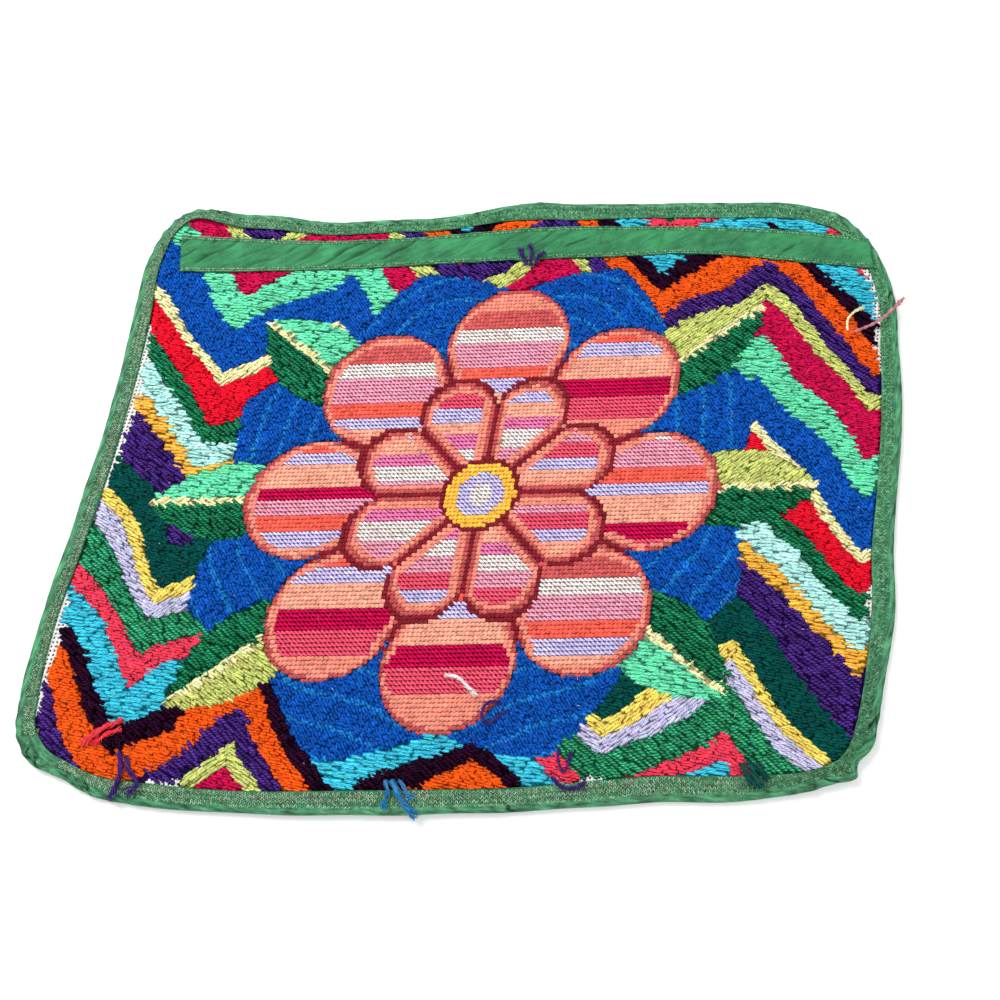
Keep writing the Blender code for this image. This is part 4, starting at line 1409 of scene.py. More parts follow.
@dataclass
class Canvas:
    """The canvas itself, with its face side below, and its bare threads at the edges."""

    sink: float = 0.85  # how far the wool's bed stands above the canvas
    rim: float = 0.44  # the canvas ends at this share of the tape's width
    first_column: float = -146.5
    first_row: float = -3.5
    columns: int = 240
    rows: int = 164
    thread_width: float = 2.15
    thread_height: float = 0.8
    thread_reach: float = 0.8  # holes from the middle of a thread's stretch to its ends
    thread_weave: float = 0.16  # how far a thread passes over or under the next
    thread_columns: tuple = (-135, 85)
    thread_rows: tuple = (-2, 160)

    def build(self) -> list[Piece]:
        """Make the ground sheet and the threads that show."""
        return [self._ground(), self._threads()]

    def _ground(self) -> Piece:
        """The sheet, one square for each stitch, its top let down under the wool."""
        sheet = self._lattice()
        upper, lower = two_sided(sheet)
        self._settle(upper, is_top=True)
        self._settle(lower, is_top=False)
        bmesh.ops.recalc_face_normals(sheet, faces=sheet.faces)
        mesh = to_mesh("canvas_ground", sheet)
        self._dye(mesh)
        self._write_maps(mesh)
        piece = link_mesh(mesh, GroundFinish("worked_canvas").material())
        return finish_piece(piece, "needlework", "canvas_panel")

    def _lattice(self) -> Form:
        """A flat sheet of squares, one for each stitch, cut off under the tape."""
        sheet, across, up = unit_sheet(self.columns, self.rows)
        column, row = self.first_column + across * self.columns, self.first_row + up * self.rows
        x, y, is_out = LAYOUT.pull_in(*PICTURE.grid.place(column, row), self.rim)
        sheet.verts.index_update()
        outside = [face for face in sheet.faces if all(is_out[vert.index] for vert in face.verts)]
        move(sheet.verts, np.column_stack((x, y, np.zeros(len(x)))))
        bmesh.ops.delete(sheet, geom=outside, context="FACES")
        bmesh.ops.remove_doubles(sheet, verts=sheet.verts, dist=0.05)
        bmesh.ops.dissolve_degenerate(sheet, edges=sheet.edges, dist=0.02)
        return sheet

    def _settle(self, verts: Vertices, is_top: bool) -> None:
        """Bring one side of the flat sheet to its height and to the frame's own metres."""
        x, y, _ = places_of(verts).T
        held_x, held_y, _ = LAYOUT.pull_in(x, y, self.rim + 0.1)
        height = LAYOUT.height(LAYOUT.canvas, held_x, held_y, from_below=not is_top)
        if is_top:
            past = LAYOUT.past_tape(x, y)
            height = height - self.sink * smoothstep((past + 2.5) / 3.0)
            height = height + 0.85 * np.clip(wool_lift(x, y, PICTURE.at(x, y), past), 0.0, 2.0)
        move(verts, LAYOUT.to_frame(np.column_stack((x, y, height))))

    @staticmethod
    def _dye(mesh: Mesh) -> None:
        """Give each square its stitch's colour: painted shade under the wool, painted shadow in the
        bare canvas's holes, clear on the face side.
        """
        middles = read(mesh.polygons, "center", 3).astype(float) / MM - LAYOUT.shift
        x, y = middles[:, 0], middles[:, 1]
        past, worked, margin = LAYOUT.past_tape(x, y), PICTURE.at(x, y), bare_margin(x, y)
        wool, is_bare = WOOL_LINEAR[worked.wool], margin > BARE_FROM
        # painted shade in the gaps between the strokes, and painted shadow in the bare canvas's holes
        hidden = wool * np.where(worked.fine, 0.75, 0.5)[:, None]
        hidden[is_bare & (past < margin + 0.6)] = dye("shadow")
        uneven = np.random.default_rng(SEED + 3).standard_normal(len(x))
        clear = wool * (1.0 + 0.06 * uneven)[:, None]
        clear[past < np.where(is_bare, margin - 0.5, -4.0)] = dye("canvas_white")
        is_top = read(mesh.polygons, "normal", 3)[:, 2] > 0.3
        colours = np.where(is_top[:, None], hidden, np.clip(clear, 0.0, 1.0))
        corners = read(mesh.polygons, "loop_total", kind=np.int32)
        write_colours(mesh, np.repeat(colours, corners, axis=0), "CORNER")

    @staticmethod
    def _write_maps(mesh: Mesh) -> None:
        """Store the holes' map, and the finished map with the two sides side by side."""
        places, is_below, _ = corner_places(mesh)
        places = places.astype(float)
        flat = places / MM - LAYOUT.shift
        side = float(np.ptp(places[:, 0])) * 1.03
        plan_x = (places[:, 0] / side + 0.5) * 0.5 + 0.5 * is_below
        write_uv(mesh, "OFBake", plan_x, places[:, 1] / side + 0.5)
        write_uv(mesh, "Holes", *PICTURE.grid.holes(flat[:, 0], flat[:, 1]))

    def _threads(self) -> Piece:
        """The white canvas threads along the edges that were left bare."""
        grid = PICTURE.grid
        column, row, x, y = grid.every(self.thread_columns, self.thread_rows, shift=0.5)
        past, margin = LAYOUT.past_tape(x, y), bare_margin(x, y)
        keep = (past > -1.5) & (past < margin + 1.4) & (margin > BARE_FROM)
        keep &= ~LAYOUT.under_strip(x, y)
        column, row, x, y = (values[keep] for values in (column, row, x, y))
        base = LAYOUT.height(LAYOUT.canvas, x, y) - self.sink + 0.55
        over = np.where((np.round(column + row).astype(int) % 2) == 0, 1.0, -1.0) * self.thread_weave
        parts, white = [], np.tile(dye("canvas_white"), (len(x), 1))
        for across, up, lift in ((self.thread_reach, 0.0, over), (0.0, self.thread_reach, -over)):
            start, end = grid.place(column - across, row - up), grid.place(column + across, row + up)
            # a little painted shade at each thread's ends
            parts.append(strokes_of(
                np.stack((*start, base), 1), np.stack((*end, base), 1), self.thread_width,
                self.thread_height, 0.2 + lift, 0.0, white, 0.05, 0.0
            ))
        finish = WoolFinish("canvas_thread", ply_pitch=3.0, groove=0.12, mottle=0.05)
        shape = StrokeShape(blunt=0.25, is_flat=True)
        return Handwork.make_piece("bare_canvas_threads", join_strokes(parts), shape, finish)


# ---- the cotton tape and strip, and the machine sewing on them ----


class SectionPoint(NamedTuple):
    """A place on the tape's section: inward from the fold, its height, and how it puffs."""

    inward: float
    height: float
    puff: float = 0.0
    # how much its creases show, in relief and in painted shade
    crease: float = 0.0


TAPE_SECTION = tuple(SectionPoint(*row) for row in (
    (1.5, 0.05), (4.8, 0), (8, 0.02), (8.2, 0.45), (7.9, 0.9), (3.2, 0.95), (2, 2.1), (3.2, 3.3),
    (8, 3.32), (12.2, 3.32), (12.55, 3.6), (12.1, 3.98, 0, 0.3), (10.9, 3.9, 0.1, 0.3),
    (9.6, 4.12, 0.1, 0.6), (8.3, 3.9, 0.1, 0.3), (7, 4.12, 0.2, 0.6), (5.8, 3.9, 0.3, 0.4),
    (4.9, 4.3, 0.8, 0.9), (4, 4.46, 1, 1), (3.1, 4.46, 1, 1), (2.2, 4.3, 1, 1), (1.4, 3.98, 1, 1),
    (0.8, 3.55, 0.9, 0.9), (0.35, 3, 0.8, 0.8), (0, 2, 0.5, 0.4), (0.4, 0.8, 0.2, 0.2),
))
NOMINAL_WIDTH = 12.5
STRETCH_FROM = 6.2  # a wider tape is wider past this place only
PLEATS = (36.0, 44.0, 79.0, 312.0, 486.0, 533.0, 802.0, 1112.0, 1166.0, 1290.0)  # along the edge

TAPE_COTTON = CottonFinish(
    "tape_cotton", (58, 139, 91), (134, 191, 152), (28, 94, 60), (6, 38, 26),
    crease_angle=math.radians(9.0), crease_length=9.0, crease_pitch=2.2, streak=0.5, patch_scale=120.0
)
STRIP_COTTON = CottonFinish(
    "strip_cotton", (42, 129, 78), (100, 180, 127), (22, 86, 54), (3, 26, 21),
    crease_angle=math.radians(24.0), crease_length=12.0, crease_pitch=3.4, streak=0.12
)


def stretch(inward: Array, width: Array) -> Array:
    """Where a place of the nominal section lies on a tape of another width."""
    wider = (width - STRETCH_FROM) / (NOMINAL_WIDTH - STRETCH_FROM)
    return np.where(inward > STRETCH_FROM, STRETCH_FROM + (inward - STRETCH_FROM) * wider, inward)


def wear(x: Array, y: Array) -> Array:
    """How worn the tape's sewing is, from 0 along the top and right to 1 at the left and front."""
    return smoothstep((0.55 - x / 200.0 - y / 230.0) / 1.1)


def hidden_sewing(x: Array, y: Array) -> Array:
    """How far the folded tape hides its sewing, up to 1 at the front left corner."""
    return smoothstep((15.0 - np.hypot(x + 248.0, y + 163.5)) / 5.0)


def grime(x: Array, y: Array) -> Array:
    """How much darker the tape's sewing is made, from 0 to 1 at the front right corner."""
    return smoothstep((x - y - 280.0) / 90.0)


@dataclass
class Binding:
    """The cotton tape folded over the canvas's edge."""

    step: float = 1.25
    gather_height: float = 0.5
    gather_length: float = 11.0
    slant_pitch: float = 13.0  # between creases that lean across the tape
    upright_pitch: float = 5.4  # between creases straight across it
    pleat_width: float = 1.2
    map_rows: int = 6  # the finished map is cut into this many even rows

    def build(self) -> Piece:
        """Make the tape as one closed ring."""
        steps, corners = round(EDGE_PATH.length / self.step), len(TAPE_SECTION)
        tape, along, around = unit_sheet(steps, corners)
        stop, corner = np.round(along * steps).astype(int), np.round(around * corners).astype(int)
        surface, fold = self.surface(stop % steps * EDGE_PATH.length / steps, corner % corners)
        move(tape.verts, LAYOUT.to_frame(surface))
        self._maps(tape, np.stack((stop * EDGE_PATH.length / steps, self._girth()[corner]), 1))
        write_fold(tape, fold)
        bmesh.ops.remove_doubles(tape, verts=tape.verts, dist=0.001 * MM)
        bmesh.ops.recalc_face_normals(tape, faces=tape.faces)
        piece = link_mesh(to_mesh("cotton_binding", tape), TAPE_COTTON.material())
        return finish_piece(piece, "cotton_tape", "edge_binding")

    @staticmethod
    def _girth() -> Array:
        """How far round the section each of its corners lies, in millimetres."""
        ring = np.array(TAPE_SECTION)[:, :2]
        spans = np.linalg.norm(np.roll(ring, -1, axis=0) - ring, axis=1)
        return np.concatenate(([0.0], np.cumsum(spans)))

    def _maps(self, tape: Form, cloth: Array) -> None:
        """Store the weave's map, and the finished map with the ring cut into even rows."""
        rows = self.map_rows
        length, girth = cloth.max(axis=0)
        weave = tape.loops.layers.uv.new("Cloth")
        plan = tape.loops.layers.uv.new("OFBake")
        tape.verts.index_update()
        for face in tape.faces:
            middle = np.mean([cloth[loop.vert.index][0] for loop in face.loops])
            row = min(int(middle / length * rows), rows - 1)
            for loop in face.loops:
                along, around = cloth[loop.vert.index]
                loop[weave].uv = (along, around)
                share = along / length * rows - row
                loop[plan].uv = (0.01 + 0.98 * share, (row + 0.02 + 0.96 * around / girth) / rows)

    def surface(self, stop: Array, corner: Array) -> tuple[Array, Array]:
        """Places on the tape, in millimetres of the cutting plane, with its gathers.

        Args:
            stop: Distances along the edge.
            corner: Which corner of the section, for each distance.

        Returns:
            One place for each pair, and a share from 0 on smooth cloth to 1 in a fold, which the cotton
            paints as shade.
        """
        inward, height, puff, crease = np.array(TAPE_SECTION)[corner].T
        outer, across, width, gather = tape_at(stop)
        gather = np.clip(gather, 0.0, 1.2)
        anchor = outer + across * (width - 2.0)[:, None]
        lift = LAYOUT.height(LAYOUT.canvas, anchor[:, 0], anchor[:, 1]) - PANEL_TOP
        ridge = np.sin(TURN * stop / self.gather_length + 2.0 * np.sin(stop / 23.0))
        fold = self._folds(stop, inward, gather) * crease
        swell = self.gather_height * gather * ridge * puff
        fine = 0.12 * gather * np.sin(TURN * stop / 6.3 + 0.9 * np.sin(stop / 5.0)) * crease
        wander = 0.2 * drift(0.5 * stop, 3.0 * inward, 7.0, 21) * crease - 0.6 * fold
        inward = stretch(inward, width) - 0.45 * swell - 0.5 * fine + 0.25 * fold
        inward = inward + 0.35 * drift(stop, inward * 0.0, 34.0, 22) * (inward < 1.0)
        flat = outer + across * inward[:, None]
        # painted shade in the needle holes of the sewn zone, deeper where the sewing is worn and
        # towards the front right
        sewn = (inward > 4.2) & (height > 3.5)
        dull = 0.1 + 0.32 * wear(flat[:, 0], flat[:, 1]) + 0.1 * grime(flat[:, 0], flat[:, 1])
        dull = dull * (1.0 - hidden_sewing(flat[:, 0], flat[:, 1]))
        fold = np.clip(fold + dull * sewn, 0.0, 1.0)
        return np.column_stack((flat, height + lift + swell + fine + wander)), fold

    def _folds(self, stop: Array, inward: Array, gather: Array) -> Array:
        """How folded the tape is, by how far along and inward: creases four ways, and pleats."""
        length = EDGE_PATH.length
        slanted = creases(stop + 1.6 * inward, self.slant_pitch, 1.0, 1, length)
        bent = stop - 0.5 * inward + 1.1 * drift(stop, 4.0 * inward, 13.0, 23)
        upright = creases(bent, self.upright_pitch, 0.8, 2, length) * (0.05 + 0.45 * gather)
        lean = stop + 1.1 * inward + 1.5 * drift(stop, 4.0 * inward, 9.0, 25)
        pleat = sum(np.exp(-(((lean - place) / self.pleat_width) ** 2)) for place in PLEATS)
        outer_fold = np.clip(1.2 - inward / 5.0, 0.0, 1.0)
        run = inward + 1.5 * np.sin(stop / 17.0) + 0.8 * np.sin(stop / 7.3) + 40.0
        uneven = 0.5 + 0.5 * drift(stop, stop * 0.0, 21.0, 24)
        along = creases(run, 2.0, 0.45, 3) * outer_fold * uneven
        return np.clip(slanted * (0.1 + 0.55 * gather) + upright + 0.75 * along + pleat, 0.0, 1.0)


@dataclass
class TopStrip:
    """The cotton strip sewn flat along the top, one end raw."""

    cells_long: int = 520
    cells_across: int = 20
    thickness: float = 0.35  # millimetres, the least that the cloth may be
    fold_pitch: float = 19.0  # between its deep folds
    slack_pitch: float = 12.0  # between its shallow ones
    stitch_line: float = 1.9  # its sewing pinches it this far in
    map_rows: int = 5  # the finished map is cut into this many even rows for each side

    def build(self) -> Piece:
        """Make the strip as one closed sheet."""
        strip, along, across = unit_sheet(self.cells_long, self.cells_across)
        x, y, top, underside, fold = self.surface(along, across)
        write_fold(strip, fold)
        upper, lower = two_sided(strip)
        by_place = {(round(vert.co.x, 5), round(vert.co.y, 5)): vert for vert in upper}
        above = [by_place[(round(vert.co.x, 5), round(vert.co.y, 5))] for vert in lower]
        move(lower, LAYOUT.to_frame(np.stack((x, y, underside), 1)))
        move(above, LAYOUT.to_frame(np.stack((x, y, top), 1)))
        bmesh.ops.recalc_face_normals(strip, faces=strip.faces)
        mesh = to_mesh("cotton_strip", strip)
        self._write_maps(mesh)
        piece = link_mesh(mesh, STRIP_COTTON.material())
        return finish_piece(piece, "cotton_tape", "top_strip")

    def _write_maps(self, mesh: Mesh) -> None:
        """Store the weave's map in millimetres, and the finished map by side."""
        places, is_below, counts = corner_places(mesh)
        share = (places - places.min(axis=0)) / np.maximum(np.ptp(places, axis=0), 1e-9)
        row = np.minimum(np.floor(share[:, 0] * self.map_rows), self.map_rows - 1)
        first = np.repeat(np.minimum.reduceat(row, np.cumsum(counts) - counts), counts)
        plan_x = share[:, 0] * self.map_rows - first
        plan_y = (first * 2 + is_below + 0.03 + 0.94 * share[:, 1]) / (2 * self.map_rows)
        write_uv(mesh, "OFBake", 0.01 + 0.98 * np.clip(plan_x, 0, 1), plan_y)
        write_uv(mesh, "Cloth", *(places[:, :2] / MM).T)

    def surface(self, along: Array, across: Array) -> tuple[Array, ...]:
        """The strip's places, the heights of its two faces and how folded it is, which the cotton
        paints as shade.
        """
        x = STRIP_LAST - (1.0 - along) * (STRIP_LAST - STRIP_FIRST - STRIP_START)
        rows, held = STRIP_PATH.at(x - STRIP_FIRST), STRIP_SOLID.at(x - STRIP_FIRST)
        y = rows[:, 2] + across * (rows[:, 3] - rows[:, 2])
        held_x = np.clip(x, STRIP_FIRST + 0.3, STRIP_LAST - 0.3)
        held_y = held[:, 2] + np.clip(across, 0.02, 0.98) * (held[:, 3] - held[:, 2])
        top, underside = (
            LAYOUT.height(LAYOUT.strip, held_x, held_y, from_below) for from_below in (False, True)
        )
        bend = x - 42.0 * across**0.8 + 4.0 * drift(x, y, 52.0, 31) + 1.6 * drift(x, y, 19.0, 36)
        loose = np.sin(math.pi * np.clip(across, 0.0, 1.0)) ** 0.7
        eased = 0.75 * smoothstep((x - 40.0) / 60.0)
        part = smoothstep(0.85 + 0.6 * drift(x, 1.4 * y, 20.0, 32) - eased)
        deep = creases(bend, self.fold_pitch, 1.9, 5) * part
        bulge = creases(bend - 3.8, self.fold_pitch, 3.0, 5) * part
        slack = x - 14.0 * across + 3.0 * drift(x, y, 17.0, 37)
        shallow = creases(slack, self.slack_pitch, 1.5, 6) * (1.0 - part)
        crease = bulge - 1.9 * deep - 0.25 * shallow
        small = 0.34 * drift(x - 12.0 * across, 2.0 * y, 15.0, 33)
        sewn = np.minimum(across, 1.0 - across) * 24.0
        pinch = 0.24 * np.exp(-((sewn - self.stitch_line) / 0.9) ** 2)
        fine = 0.09 * np.sin(TURN * x / 2.7) * np.exp(-sewn / 3.0)
        top = top + loose * (crease + small) - pinch + fine - 0.1
        wobble = 0.35 * drift(x, y * 0.0, 12.0, 34)
        edge_y = y + wobble * np.where(across < 0.5, -1.0, 1.0) * (np.abs(across - 0.5) > 0.49)
        fray = 0.5 * drift(y * 5.0, x * 0.0, 9.0, 35) * (along < 0.001)
        # painted shade in the deep and shallow creases and along the sewing's pinch
        fold = np.clip((0.95 * deep + 0.3 * shallow) * loose**0.5 + 1.2 * pinch, 0.0, 1.0)
        return x + fray, edge_y, np.maximum(top, underside + self.thickness), underside, fold


class SewnRow(NamedTuple):
    """One row of machine sewing: how far in it runs, and the size of its zigzag."""

    inward: float
    half_step: float
    swing: float
    pale: float  # the share of its stitches in undyed thread
    long_sides_only: bool = False


TAPE_ROWS = tuple(SewnRow(*row) for row in (
    (11.4, 1.15, 0.95, 0.1), (9.8, 1.15, 1.0, 0.5), (8.3, 1.15, 1.05, 0.4),
    (6.9, 1.15, 1.0, 0.15), (5.6, 1.15, 0.95, 0.1), (4.3, 1.15, 0.85, 0.1, True),
))
UNDER_ROWS = (SewnRow(6.7, 2.2, 1.0, 0.6), SewnRow(4.6, 2.2, 1.0, 0.3))
STRIP_ROWS = (SewnRow(2.0, 0.85, 0.85, 0.1), SewnRow(0.55, 1.3, 0.12, 0.9))


@dataclass
class MachineSewing(Handwork):
    """Zigzag rows of thread that hold the tape and the strip down."""

    stream: int = 5
    thread: float = 0.66
    thread_height: float = 0.6
    end_gap: float = 1.0  # the strip's sewing stops this far from its ends
    fresh_threads: tuple = ((112, 194, 140), (150, 218, 168), (84, 164, 112))
    worn_threads: tuple = ((146, 212, 164), (188, 230, 194), (104, 178, 128))
    pale_threads: tuple = ((198, 206, 178), (176, 180, 150), (184, 208, 176))

    def build(self, binding: Piece, strip: Piece) -> list[Piece]:
        """Make the sewing on the tape, and that on the strip.

        Args:
            binding: The tape that the rows lie on.
            strip: The strip that the rows lie on.

        Returns:
            The three pieces, the last of them below the tape.
        """
        tape = [(self._tape_row(row), row) for row in TAPE_ROWS]
        sides = [(self._strip_row(row, at_top), row) for row in STRIP_ROWS for at_top in (False, True)]
        under = [(self._tape_row(row), row) for row in UNDER_ROWS]
        pieces = []
        kinds = (("tape", tape, binding), ("strip", sides, strip), ("under", under, binding))
        for kind, rows, ground in kinds:
            name = f"{kind}_sewing"
            tree = search_tree(ground.data)
            parts = [self._thread(line, row, tree, from_below=rows is under) for line, row in rows]
            finish = WoolFinish(f"{name}_thread", ply_pitch=2.0, plies=2.0, groove=0.25)
            shape = StrokeShape(around=3, along=3)
            pieces.append(self.make_piece(name, join_strokes(parts), shape, finish, "cotton_tape"))
        return pieces

    def _turns(self, row: SewnRow, length: float) -> tuple[Array, Array]:
        """How far along a row each turn of the thread lies, and how far to its side."""
        stops = np.arange(0.0, length, row.half_step)
        stops = stops + self.scatter(0.12 * row.half_step, len(stops))
        swing = np.where(np.arange(len(stops)) % 2, row.swing, -row.swing)
        return stops, swing * self.about(0.16, len(stops))

    def _tape_row(self, row: SewnRow) -> Array:
        """The turning points of one row on the tape."""
        stops, swing = self._turns(row, EDGE_PATH.length)
        outer, across, width, _ = tape_at(stops)
        wander = 0.35 * drift(stops, stops * 0.0, 60.0, int(row.inward * 10.0))
        held = stretch(row.inward + wander + swing, width)
        return outer + across * held[:, None]

    def _strip_row(self, row: SewnRow, at_top: bool) -> Array:
        """The turning points of one row on the strip."""
        first, last = STRIP_FIRST + STRIP_START + self.end_gap, STRIP_LAST - self.end_gap
        stops, swing = self._turns(row, last - first)
        rows = STRIP_PATH.at(stops + STRIP_START + self.end_gap)
        inward = np.maximum(row.inward + swing, 0.3)
        y = rows[:, 3] - inward if at_top else rows[:, 2] + inward
        return np.stack((first + stops, y), 1)

    def _pick_thread(self, table: tuple, count: int) -> Array:
        """One of a table's colours for each stitch."""
        return np.array([linear(colour) for colour in table])[self.rng.integers(0, len(table), count)]

    def _tints(self, x: Array, y: Array, row: SewnRow) -> Array:
        """The colour of each stitch: fresh, worn or undyed, and darker towards the front right corner.
        """
        count, worn = len(x), wear(x, y)
        pale = row.pale + 0.3 * drift(x, y, 50.0, 40 + int(row.inward))
        is_pale = self.rng.uniform(size=count) < pale * worn
        is_worn = self.rng.uniform(size=count) < 0.15 + 0.85 * worn
        fresh, faded, undyed = (
            self._pick_thread(table, count)
            for table in (self.fresh_threads, self.worn_threads, self.pale_threads)
        )
        tint = np.where(is_pale[:, None], undyed, np.where(is_worn[:, None], faded, fresh))
        tint = tint * self.about(0.2, count)[:, None]
        return np.clip(tint * (1.0 - 0.28 * grime(x, y))[:, None], 0.0, 1.0)

    def _thread(self, line: Array, row: SewnRow, tree: BVHTree, from_below: bool) -> Strokes:
        """One thread laid from turn to turn on what it holds, or under it."""
        proud, rise = (0.12, -0.05) if from_below else (0.06, 0.2)
        heights = LAYOUT.height(tree, line[:, 0], line[:, 1], from_below, missing=np.nan)
        heights = np.where(np.isnan(heights), np.nanmedian(heights), heights) + proud
        turns = np.column_stack((line, heights))
        x, y = line[:-1, 0], line[:-1, 1]
        tint = self._tints(x, y, row)
        sizes = (self.thread, self.thread_height, rise, 0.0)
        # painted shade at each thread's ends, where it goes into its needle hole
        thread = strokes_of(turns[:-1], turns[1:], *sizes, tint, 0.55, 0.0)
        is_long_side = (np.abs(y) > 168.0) & (np.abs(x - 0.19 * y) < 175.0)
        shows = (hidden_sewing(x, y) < 0.5) | from_below
        return pick(thread, shows & (is_long_side | (not row.long_sides_only)))


# ---- loose ends of yarn ----


@dataclass
class LooseYarn(Handwork):
    """Plied loose ends, each on the route of its solid."""

    stream: int = 9
    steps: int = 17
    plies: int = 10
    hairs: int = 6
    closer: float = 0.989  # the yarn lies a little nearer the camera's foot than its solids do
    least_height: float = 0.5

    def build(self) -> list[Piece]:
        """Make every loose end."""
        return [self._end(end) for end in YARN_ENDS]

    def _centres(self, end: YarnEnd) -> Array:
        """The route's places, at the heights at which its solid lies."""
        path = SmoothPath(end.places, closed=False)
        flat = path.at(np.linspace(0.0, path.length, self.steps))
        found = places_of(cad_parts[end.node].data.vertices) / MM - LAYOUT.shift
        heights = []
        for place in flat:
            gaps = np.hypot(found[:, 0] - place[0], found[:, 1] - place[1])
            near = found[gaps < max(gaps.min() + 0.2, 2.0 * end.radius)]
            heights.append((near[:, 2].min() + near[:, 2].max()) / 2.0)
        smooth = np.convolve(np.pad(heights, 4, mode="edge"), np.ones(9) / 9.0, mode="valid")
        foot = EYE[:2]
        return np.column_stack((foot + (flat - foot) * self.closer, smooth))

    def _end(self, end: YarnEnd) -> Piece:
        """Twist the plies round the route and let them part a little at the tip."""
        centres = self._centres(end)
        share = np.linspace(0.0, 1.0, self.steps)
        ahead = np.gradient(centres, axis=0)
        ahead /= np.linalg.norm(ahead, axis=1)[:, None]
        side = np.cross(ahead, (0.0, 0.0, 1.0))
        side /= np.linalg.norm(side, axis=1)[:, None]
        up = np.cross(side, ahead)
        length = np.cumsum(np.linalg.norm(np.diff(centres, axis=0, prepend=centres[:1]), axis=1))
        curve = bpy.data.curves.new(end.node, "CURVE")
        curve.dimensions = "3D"
        curve.bevel_depth = MM
        curve.bevel_resolution = 0
        curve.use_fill_caps = True
        frayed = smoothstep((share - 0.5) / 0.5)
        for strand in range(self.plies + self.hairs):
            is_hair = strand >= self.plies
            phase = strand / self.plies + 0.2 * is_hair * self.rng.standard_normal()
            turn = TURN * (phase + length / (14.0 * end.radius))
            apart = end.radius * self.rng.uniform(*((1.1, 2.0) if is_hair else (0.35, 1.05)))
            apart = apart * (1.0 + 0.4 * frayed)
            splay = end.radius * frayed**1.5 * (1.4 if is_hair else 0.9) * self.rng.standard_normal()
            aside, above = np.cos(turn) * apart + splay, np.sin(turn) * apart
            places = centres + (side * aside[:, None] + up * above[:, None])
            places[:, 2] = np.maximum(places[:, 2], self.least_height)
            spline = curve.splines.new("POLY")
            spline.points.add(self.steps - 1)
            thick = 0.13 if is_hair else 0.36 * end.radius
            radius = thick * (1.0 - 0.7 * smoothstep((share - 0.86) / 0.14))
            for point, place, size in zip(spline.points, LAYOUT.to_frame(places), radius):
                point.co = (*place, 1.0)
                point.radius = float(size)
        return self._to_piece(curve, end)

    def _to_piece(self, curve: bpy.types.Curve, end: YarnEnd) -> Piece:
        """Turn the plies into one mesh with the wool's colours and maps."""
        holder = bpy.data.objects.new("plies", curve)
        bpy.context.scene.collection.objects.link(holder)
        graph = bpy.context.evaluated_depsgraph_get()
        mesh = bpy.data.meshes.new_from_object(holder.evaluated_get(graph))
        bpy.data.objects.remove(holder, do_unlink=True)
        mesh.name = end.node.replace("yarn_end", "loose")
        mesh.materials.clear()
        count, strands, tone = len(mesh.vertices), self.plies + self.hairs, dye(end.colour)
        number = np.arange(count) * strands // count
        value = self.rng.uniform(0.6, 1.35, strands)[number] * self.about(0.06, count)
        along = np.arange(count) * strands / count % 1.0
        pale = self.rng.uniform(0.0, 0.3, strands)[number] * float(tone.mean()) * (0.4 + 1.6 * along)
        write_colours(mesh, np.clip(tone * value[:, None] + pale[:, None], 0.0, 1.0))
        places = read(mesh.vertices, "co", 3)[corner_vertices(mesh)] / MM
        write_uv(mesh, "Ply", places[:, 0] + places[:, 1], places[:, 2] * 0.1)
        finish = WoolFinish(f"{end.colour}_end", ply_pitch=2.4, plies=1.0, groove=0.1)
        return finish_piece(link_mesh(mesh, finish.material()), "yarn", end.node)


# ---- fuzz and lint on the wool ----


@dataclass
class Fuzz(Handwork):
    """Fine hairs that stand off the wool, white lint caught on it, and short cut tails."""

    stream: int = 14
    hairs: int = 5000
    lint: int = 100
    tails: int = 70
    half_lengths: tuple = (1.6, 0.8, 2.6)  # of a hair, a bit of lint and a tail
    widths: tuple = (0.24, 0.55, 0.9)
    heights: tuple = (0.2, 0.4, 0.8)

    def build(self, wool: Sequence[Piece]) -> Piece:
        """Make the hairs, the lint and the tails as one piece that lies on the wool.

        Args:
            wool: The pieces of wool that they lie on.

        Returns:
            The piece.
        """
        count = self.hairs + self.lint + self.tails
        x, y = self.rng.uniform(-262.0, 262.0, count * 2), self.rng.uniform(-188.0, 188.0, count * 2)
        share, worked = LAYOUT.strip_share(x, y), PICTURE.at(x, y)
        keep = (LAYOUT.past_tape(x, y) > 5.0) & ((share < -0.3) | (share > 1.3))
        keep &= ~worked.fine | (self.rng.uniform(size=len(x)) < 0.35)
        x, y, wools = x[keep][:count], y[keep][:count], worked.wool[keep][:count]
        count = len(x)
        is_lint = np.arange(count) < self.lint
        is_tail = ~is_lint & (np.arange(count) < self.lint + self.tails)
        kind = is_lint * 1 + is_tail * 2
        turn = self.rng.uniform(0.0, TURN, count)
        half = np.choose(kind, self.half_lengths) * self.rng.uniform(0.5, 1.4, count)
        run = np.stack((np.cos(turn), np.sin(turn)), 1) * half[:, None]
        tree = search_tree(*(piece.data for piece in wool))
        base = LAYOUT.height(tree, x, y) + 0.1
        lean = np.choose(kind, (self.rng.uniform(-0.1, 0.9, count), 0.1, 0.5))
        flat = np.stack((x, y), 1)
        # hairs and tails paler than their wool: painted highlight where they catch the light
        dyed = np.clip(WOOL_LINEAR[wools] * 1.3 + 0.07, 0.0, 0.95)
        strokes = strokes_of(
            np.column_stack((flat - run, base)),
            np.column_stack((flat + run, base + lean)),
            np.choose(kind, self.widths),
            np.choose(kind, self.heights),
            self.rng.uniform(0.1, 0.5, count),
            self.scatter(0.4 * half, count),
            np.where(is_lint[:, None], dye("canvas_white"), dyed),
            0.0,
            0.0,
        )
        finish = WoolFinish("fuzz", ply_pitch=2.0, groove=0.05, mottle=0.05)
        return self.make_piece("wool_fuzz", strokes, StrokeShape(around=3, along=3), finish)


# ---- the studio ----


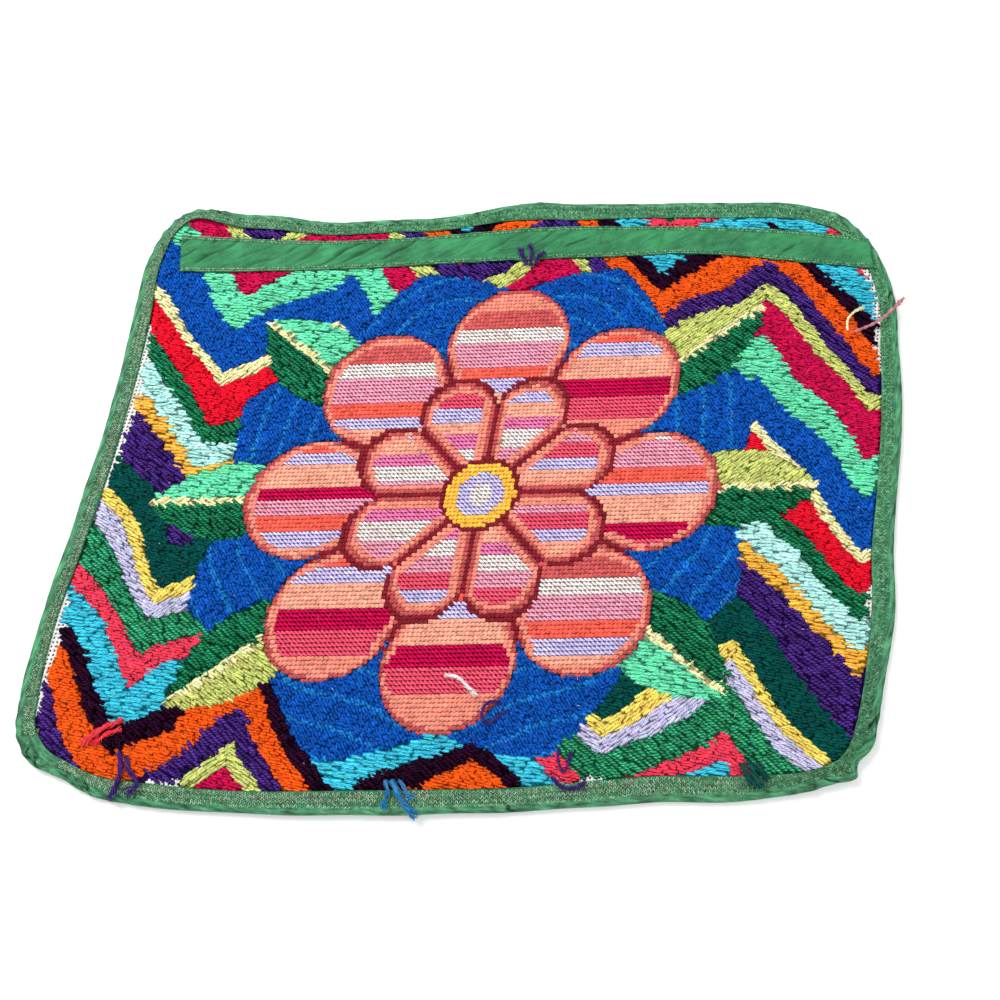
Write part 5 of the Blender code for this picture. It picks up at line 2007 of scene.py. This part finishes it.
@dataclass
class Studio:
    """A plain pale floor, soft lights, and the camera at the photograph's angle."""

    right: tuple = (0.999051, -0.013645, -0.041379)
    up: tuple = (0.026145, 0.947450, 0.318837)
    back: tuple = (0.034855, -0.319616, 0.946908)
    focal: float = 900.0
    picture: float = 1000.0
    sensor: float = 36.0
    floor_drop: float = 0.0002
    sky: float = 0.69

    def build(self) -> None:
        """Set up the floor, the lights, the sky and the camera."""
        self._camera()
        self._floor()
        self._light("key", (-0.75, 0.85, 1.1), 0.8, 23.0)
        self._light("fill", (0.9, -0.6, 1.3), 1.6, 10.4)
        world = bpy.data.worlds.new("pale_room")
        world.use_nodes = True
        sky = world.node_tree.nodes["Background"]
        sky.inputs["Color"].default_value = (1.0, 1.0, 1.0, 1.0)
        sky.inputs["Strength"].default_value = self.sky
        bpy.context.scene.world = world
        bpy.context.scene.view_settings.view_transform = "Standard"

    def _camera(self) -> None:
        """Place the camera where the photograph was taken from."""
        camera = bpy.data.cameras.new("camera")
        camera.sensor_width = self.sensor
        camera.lens = self.focal / self.picture * self.sensor
        camera.clip_start = 0.01
        viewer = bpy.data.objects.new("camera", camera)
        turn = Matrix((self.right, self.up, self.back)).transposed().to_4x4()
        viewer.matrix_world = Matrix.Translation(Vector(LAYOUT.to_frame(EYE))) @ turn
        bpy.context.scene.collection.objects.link(viewer)
        bpy.context.scene.camera = viewer

    def _floor(self) -> None:
        """A wide plain floor just under the panel."""
        plane = bmesh.new()
        bmesh.ops.create_grid(plane, x_segments=1, y_segments=1, size=6.0)
        bmesh.ops.translate(plane, verts=plane.verts, vec=(0.0, 0.0, -self.floor_drop))
        nodes = Nodes("pale_floor")
        cloudy = nodes.spread(nodes.noise(3.0, 1.0, nodes.object_places()), 0.93, 0.95)
        inputs = {"Base Color": nodes.grey(cloudy), "Roughness": 0.9, "Specular IOR Level": 0.1}
        for name, value in inputs.items():
            nodes.put(value, nodes.shader.inputs[name])
        link_mesh(to_mesh("studio_floor", plane), nodes.material)

    @staticmethod
    def _light(name: str, place: tuple, size: float, power: float) -> None:
        """A soft square light that looks at the panel."""
        lamp = bpy.data.lights.new(name, "AREA")
        lamp.size = size
        lamp.energy = power
        holder = bpy.data.objects.new(name, lamp)
        holder.location = place
        holder.rotation_mode = "QUATERNION"
        holder.rotation_quaternion = (-Vector(place)).to_track_quat("-Z", "Y")
        bpy.context.scene.collection.objects.link(holder)


def main() -> None:
    """Build every piece in order."""
    Studio().build()
    Canvas().build()
    binding = Binding().build()
    strip = TopStrip().build()
    MachineSewing().build(binding, strip)
    wool = Needlework().build()
    Fuzz().build(wool)
    LooseYarn().build()


if __name__ == "__main__":
    main()
